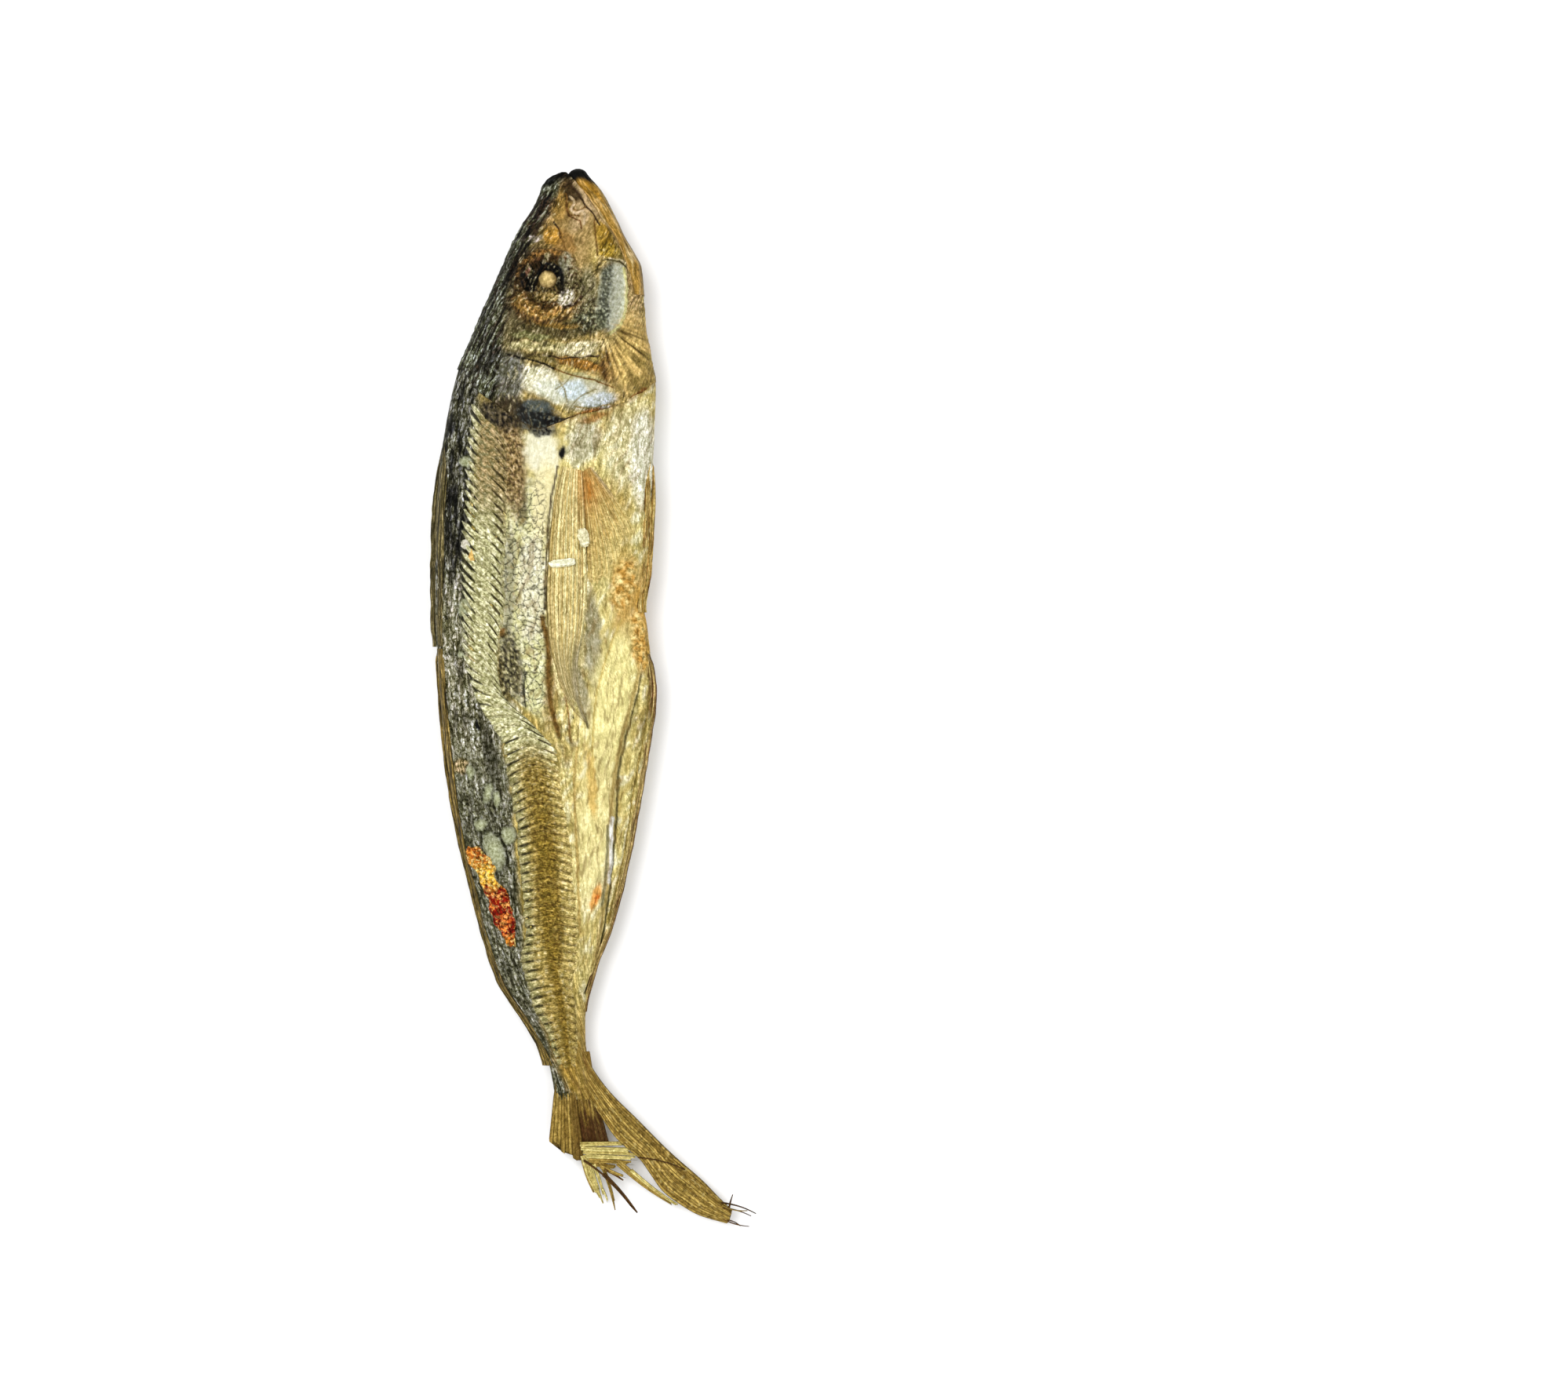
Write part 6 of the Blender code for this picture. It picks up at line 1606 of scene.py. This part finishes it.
TORN_RAYS = (
    # start and end (distance, x, height), widths, colours, bend, strands
    ("cross ray 1", (198.9, -3.4, 4.6), (198.7, 6.6, 4.5), 1.0, 0.8, PALE_TAIL_COLOURS, 0.0, 2),
    ("cross ray 2", (199.7, -3.2, 4.8), (200.0, 7.6, 4.6), 0.9, 0.9, PALE_TAIL_COLOURS, -0.1, 2),
    ("cross ray 3", (200.5, -2.8, 4.6), (200.9, 8.4, 4.6), 0.9, 0.9, PALE_TAIL_COLOURS, 0.1, 2),
    ("cross ray 4", (201.3, -2.2, 4.4), (201.8, 9.0, 4.4), 0.9, 0.8, PALE_TAIL_COLOURS, 0.0, 2),
    ("cross ray 5", (202.2, -1.6, 4.3), (202.8, 8.0, 4.3), 1.0, 0.8, TAIL_COLOURS, 0.1, 2),
    ("knot below the rays", (202.6, -1.0, 4.2), (203.6, 4.6, 4.2), 1.2, 0.8, TAIL_COLOURS, -0.2, 3),
    ("splayed bundle", (201.0, -2.2, 4.3), (210.4, 1.1, 2.9), 2.4, 0.9, PALE_TAIL_COLOURS, -0.4, 5),
    ("splayed bundle's edge", (201.6, -2.6, 4.1), (209.0, -0.2, 2.6), 1.4, 0.8, TAIL_COLOURS, -0.3, 3),
    (
        "splayed bundle's pale ray", (203.0, -0.6, 4.4), (210.8, 1.8, 2.6), 0.8, 0.4, PALE_TAIL_COLOURS,
        0.2, 2
    ),
    ("long splinter", (202.0, 0.6, 4.3), (212.4, 3.9, 2.0), 0.9, 0.5, TAIL_COLOURS, 0.3, 2),
    ("outer splinter", (205.0, 1.4, 4.1), (213.2, 8.4, 2.2), 0.9, 0.5, DARK_TAIL_COLOURS, 0.3, 2),
    (
        "dark stick over the bundle", (202.2, -2.6, 4.9), (206.2, 2.6, 4.4), 0.45, 0.35, DARK_TAIL_COLOURS,
        0.1, 1
    ),
    ("short splinter", (203.4, 0.8, 4.2), (205.8, 6.8, 3.4), 0.9, 0.4, TAIL_COLOURS, -0.2, 2),
    ("thin splinter", (204.0, 1.6, 4.1), (206.4, 5.6, 3.2), 0.6, 0.3, DARK_TAIL_COLOURS, 0.1, 1),
    ("second ray of the long lobe", (202.6, 4.4, 4.3), (211.9, 17.2, 3.6), 1.4, 0.9, TAIL_COLOURS, -0.5, 3),
    ("edge of the second ray", (204.2, 7.0, 4.2), (212.6, 18.6, 3.4), 0.8, 0.5, PALE_TAIL_COLOURS, -0.4, 2),
    (
        "dark ray over the long lobe", (201.6, 8.4, 5.1), (204.2, 18.2, 4.6), 0.3, 0.2, DARK_TAIL_COLOURS,
        0.5, 1
    ),
    ("splayed strand 1", (208.0, 0.2, 3.4), (211.2, 1.4, 2.4), 0.5, 0.3, PALE_TAIL_COLOURS, 0.0, 1),
    ("splayed strand 2", (208.0, 1.2, 3.4), (211.0, 2.4, 2.2), 0.5, 0.3, PALE_TAIL_COLOURS, 0.1, 1),
    ("outer splinter's end", (209.0, 5.3, 2.9), (213.4, 8.8, 2.0), 0.5, 0.2, DARK_TAIL_COLOURS, -0.2, 1),
    ("tip thread 1", (210.8, 25.4, 3.6), (213.7, 33.6, 4.3), 0.35, 0.18, DARK_TAIL_COLOURS, 0.5, 1),
    ("tip thread 2", (211.4, 25.6, 3.6), (212.4, 31.4, 4.6), 0.3, 0.16, TAIL_COLOURS, -0.5, 1),
    ("tip thread 3", (211.9, 25.8, 3.5), (213.6, 31.6, 3.4), 0.3, 0.16, DARK_TAIL_COLOURS, 0.3, 1),
    ("tip thread 4", (214.2, 25.8, 3.4), (215.7, 31.2, 2.6), 0.3, 0.16, DARK_TAIL_COLOURS, -0.3, 1),
    ("tip thread 5", (214.2, 26.0, 3.3), (216.1, 29.9, 2.9), 0.28, 0.15, DARK_TAIL_COLOURS, 0.4, 1),
    ("black spike", (211.9, 27.0, 3.8), (208.6, 28.0, 5.2), 0.45, 0.15, DARK_TAIL_COLOURS, 0.1, 1),
)
build_piece("torn_tail_rays", [
    torn_ray(start, end, wide, narrow, colours, 330 + 5 * k, bend, strands)
    for k, (_, start, end, wide, narrow, colours, bend, strands) in enumerate(TORN_RAYS)
], fin_finish)

# %% [markdown]
# ## Torn skin
#
# Behind the bend of the scale line the skin has torn and the flesh has dried in yellow and red crystals. It
# is a small raised mat: a grid whose heights are the heights of little cells, each with its own colour,
# over a ground that turns from yellow to red towards the tail. A cell is everything nearer to one scattered
# point than to the others.


# %% Torn flesh on the flank that shows
def cells(u, v, seed=0):
    """Distances to the two nearest of points scattered one to a square, and the nearest one's number."""
    u, v = np.broadcast_arrays(np.asarray(u, float), np.asarray(v, float))
    i, j = np.floor(u), np.floor(v)
    near, second = np.full(u.shape, 9.0), np.full(u.shape, 9.0)
    name = np.zeros(u.shape)
    for di in (-1, 0, 1):
        for dj in (-1, 0, 1):
            p, q = i + di, j + dj
            number = scatter(p, q, seed)
            away = np.hypot(p + number - u, q + scatter(p, q, seed + 9) - v)
            second = np.minimum(second, np.maximum(near, away))
            name = np.where(away < near, number, name)
            near = np.minimum(near, away)
    return near, second, name


TORN_BACK_EDGE = (
    (137.6, -26.4), (140.4, -27.0), (143.0, -25.0), (146.0, -23.6), (149.0, -22.6), (153.0, -21.4),
    (156.4, -19.4), (159.0, -17.6),
)
TORN_INNER_EDGE = (
    (138.2, -24.4), (139.6, -22.4), (142.8, -20.4), (144.4, -20.6), (146.6, -18.8), (149.6, -17.2),
    (153.4, -16.4), (157.0, -16.4), (159.2, -17.0),
)

torn_share = np.linspace(0, 1, 170)[:, None]
torn_across = np.linspace(0, 1, 74)[None, :]
(torn_back_at, torn_back_x), (torn_inner_at, torn_inner_x) = (
    edge_points(edge, torn_share) for edge in (TORN_BACK_EDGE, TORN_INNER_EDGE)
)
torn_at = torn_back_at + (torn_inner_at - torn_back_at) * torn_across + 0.5 * noise(
    torn_share * 9, torn_across * 3, 401
)
torn_x = torn_back_x + (torn_inner_x - torn_back_x) * torn_across + 0.5 * noise(
    torn_share * 14, torn_across * 3, 402
)
torn_bend_x = torn_x + 0.7 * noise(torn_x * 0.9, torn_at * 0.9, 406) + 0.3 * noise(
    torn_x * 2.4, torn_at * 2.4, 407
)
torn_bend_at = torn_at + 0.7 * noise(torn_x * 0.9, torn_at * 0.9, 408) + 0.3 * noise(
    torn_x * 2.4, torn_at * 2.4, 409
)
torn_near, torn_second, torn_name = cells(torn_bend_x / 0.6, torn_bend_at / 0.75, 403)
torn_edge = smooth_step(0, 0.12, torn_across) * (1 - smooth_step(0.88, 1, torn_across))
torn_edge = torn_edge * smooth_step(0, 0.05, torn_share) * (1 - smooth_step(0.95, 1, torn_share))
torn_height = (0.15 + 0.55 * torn_name + 0.15 * smooth_step(0, 0.3, torn_second - torn_near)) * torn_edge
torn_height = torn_height - 0.35 * (1 - torn_edge)
torn_mix = layered_noise(torn_x * 0.6, torn_at * 0.6, 404)
torn_redness = smooth_step(0.4, 0.5, torn_share + 0.12 * torn_mix) * (
    1 - smooth_step(0.84, 0.94, torn_share)
)
torn_yellow = bell(torn_share - 0.33, 0.12)
torn_paint = lay(coat(tone(228, 146, 48), torn_x), tone(176, 92, 28), smooth_step(0.0, 0.4, -torn_mix))
torn_paint = lay_all(torn_paint, (
    (tone(255, 206, 72), torn_yellow + 0 * torn_x),
    (tone(150, 30, 8), torn_redness),
    (tone(255, 138, 52), torn_redness * smooth_step(0.52, 0.62, torn_name) * 0.9),
    # painted highlight on the tallest cells
    (tone(255, 232, 140), smooth_step(0.7, 0.85, torn_name) * (1 - 0.75 * torn_redness)),
))
torn_grit = layered_noise(torn_x * 1.4, torn_at * 1.4, 405, 2)
# painted highlights: pale flecks where the grit is low
torn_paint = lay(
    torn_paint, tone(255, 214, 132), smooth_step(0.2, 0.45, -torn_grit) * (0.8 - 0.5 * torn_redness)
)
torn_gap = (1 - smooth_step(0.0, 0.16, torn_second - torn_near)) * 0.6
torn_gap = np.maximum(torn_gap, smooth_step(0.12, 0.4, torn_grit) * 0.9)
torn_dark = lay(coat(tone(150, 66, 18), torn_x), tone(88, 16, 6), torn_redness)
torn_paint = lay(torn_paint, torn_dark, torn_gap * (1 - 0.5 * torn_yellow) * 0.9)
torn_x, torn_at = from_sight(torn_x, torn_at, skin_height(torn_x, torn_at, UPPER))
torn_skin_height = skin_height(torn_x, torn_at, UPPER)
torn_points, torn_order = slab_on(torn_x, torn_at, torn_skin_height + torn_height, torn_skin_height - 0.8)
torn_place = np.stack([torn_x, torn_at, 0 * torn_x], axis=-1)
build_piece("torn_flesh", [
    shell(torn_points, torn_paint[:, torn_order], torn_place[:, torn_order], 0.0, 0.0, 0.8, 0.9)
], flesh_finish)

# %% [markdown]
# ## Crumbs
#
# Two crumbs of dried skin are stuck on the breast fin, a bar and a wedge, and two specks beside the scale
# line. Each is a ball stretched to its size and pitted by noise. A power below 1 squares it off, which
# makes the bar.

# %% Crumbs and specks
CRUMBS = (
    # what it is, (x, distance), half size along x, along the fish and up, turn, how round, colour
    ("bar", (-6.9, 80.4), (2.6, 0.75, 0.5), 7, 0.5, tone(250, 247, 214)),
    ("wedge", (-2.6, 75.2), (1.1, 2.0, 0.5), 12, 0.9, tone(240, 232, 190)),
    ("pale speck", (-26.6, 76.6), (1.0, 1.0, 0.25), 0, 1.0, tone(206, 200, 180)),
    ("orange speck", (-25.3, 78.9), (0.7, 1.2, 0.3), 0, 1.0, tone(226, 186, 106)),
)
crumb_shells = []
for k, (_, (x, at), half, turn, roundness, colour) in enumerate(CRUMBS):
    skin = float(skin_height(x, at, UPPER))
    x, at = from_sight(x, at, skin)
    middle = in_space(x, at, skin + (0.6 if k < 2 else 0.35))
    points, faces, ends, made = bead((0, 0, 0), half, colour, 410 + 7 * k, rough=0.22)
    points = np.array(half) * np.sign(points) * np.abs(points / np.array(half)) ** roundness
    c, s = math.cos(math.radians(turn)), math.sin(math.radians(turn))
    points = points @ np.array([[c, s, 0], [-s, c, 0], [0, 0, 1]]) + middle
    crumb_shells.append((points, faces, ends, made))
build_piece("stuck_crumbs", crumb_shells, skin_finish)

# %% [markdown]
# ## Floor, light and camera
#
# The photograph looks straight down on a white table that burns out to white, with very pale shadows to the
# right of the fish. One broad lamp high at the upper left makes those shadows, and a bright surrounding
# fills them. The camera stands where one photograph pixel covers 0.16 mm at the fish.


# %% Floor, light and camera
FLOOR_HALF = 2.0


def plain_surface(name, colour, roughness):
    """A plain finish with a faint unevenness in its shade."""
    material = bpy.data.materials.new(name)
    material.use_nodes = True
    tree = material.node_tree
    shader = tree.nodes["Principled BSDF"]
    where = add(tree, "ShaderNodeTexCoord", {}).node.outputs["Object"]
    cloud = add(tree, "ShaderNodeTexNoise", {"Vector": where, "Scale": 6.0, "Detail": 2.0})
    scale = ramp(tree, cloud, 0.0, 1.0, 0.985, 1.0)
    paper = add(tree, "ShaderNodeVectorMath", {0: colour, "Scale": scale}, operation="SCALE")
    tree.links.new(paper, shader.inputs["Base Color"])
    shader.inputs["Roughness"].default_value = roughness
    return material


floor_mesh = bpy.data.meshes.new("table_top")
floor_mesh.from_pydata(
    [
        (-FLOOR_HALF, -FLOOR_HALF, 0), (FLOOR_HALF, -FLOOR_HALF, 0), (FLOOR_HALF, FLOOR_HALF, 0),
        (-FLOOR_HALF, FLOOR_HALF, 0)
    ],
    [], [(0, 1, 2, 3)],
)
floor_mesh.materials.append(plain_surface("white_table", (0.88, 0.88, 0.88), 0.7))
floor = bpy.data.objects.new("table_top", floor_mesh)
bpy.context.scene.collection.objects.link(floor)


def soft_lamp(name, place, size, power):
    """A square area lamp that faces the fish."""
    light = bpy.data.lights.new(name, "AREA")
    light.size = size
    light.energy = power
    lamp = bpy.data.objects.new(name, light)
    way = -np.array(place)
    lamp.location = place
    lamp.rotation_euler = (
        math.acos(-way[2] / np.linalg.norm(way)), 0, math.atan2(way[1], way[0]) - math.pi / 2
    )
    bpy.context.scene.collection.objects.link(lamp)
    return lamp


soft_lamp("key_lamp", (-0.40, 0.32, 1.0), 0.75, 10.0)
soft_lamp("fill_lamp", (0.6, -0.3, 0.9), 0.9, 4.5)

world = bpy.data.worlds.new("bright_room")
world.use_nodes = True
world.node_tree.nodes["Background"].inputs["Color"].default_value = (1.0, 1.0, 1.0, 1)
world.node_tree.nodes["Background"].inputs["Strength"].default_value = 0.77
bpy.context.scene.world = world

camera_data = bpy.data.cameras.new("camera")
camera_data.lens = LENS_MM
camera_data.sensor_width = SENSOR_MM
camera = bpy.data.objects.new("camera", camera_data)
camera.location = in_space(SIGHT_X, SIGHT_AT, SIGHT_RISE + MEASURED_HEIGHT) * MM
bpy.context.scene.collection.objects.link(camera)
bpy.context.scene.camera = camera
bpy.context.scene.view_settings.view_transform = "Standard"
print("camera stands", round(SIGHT_RISE), "mm above the fish")
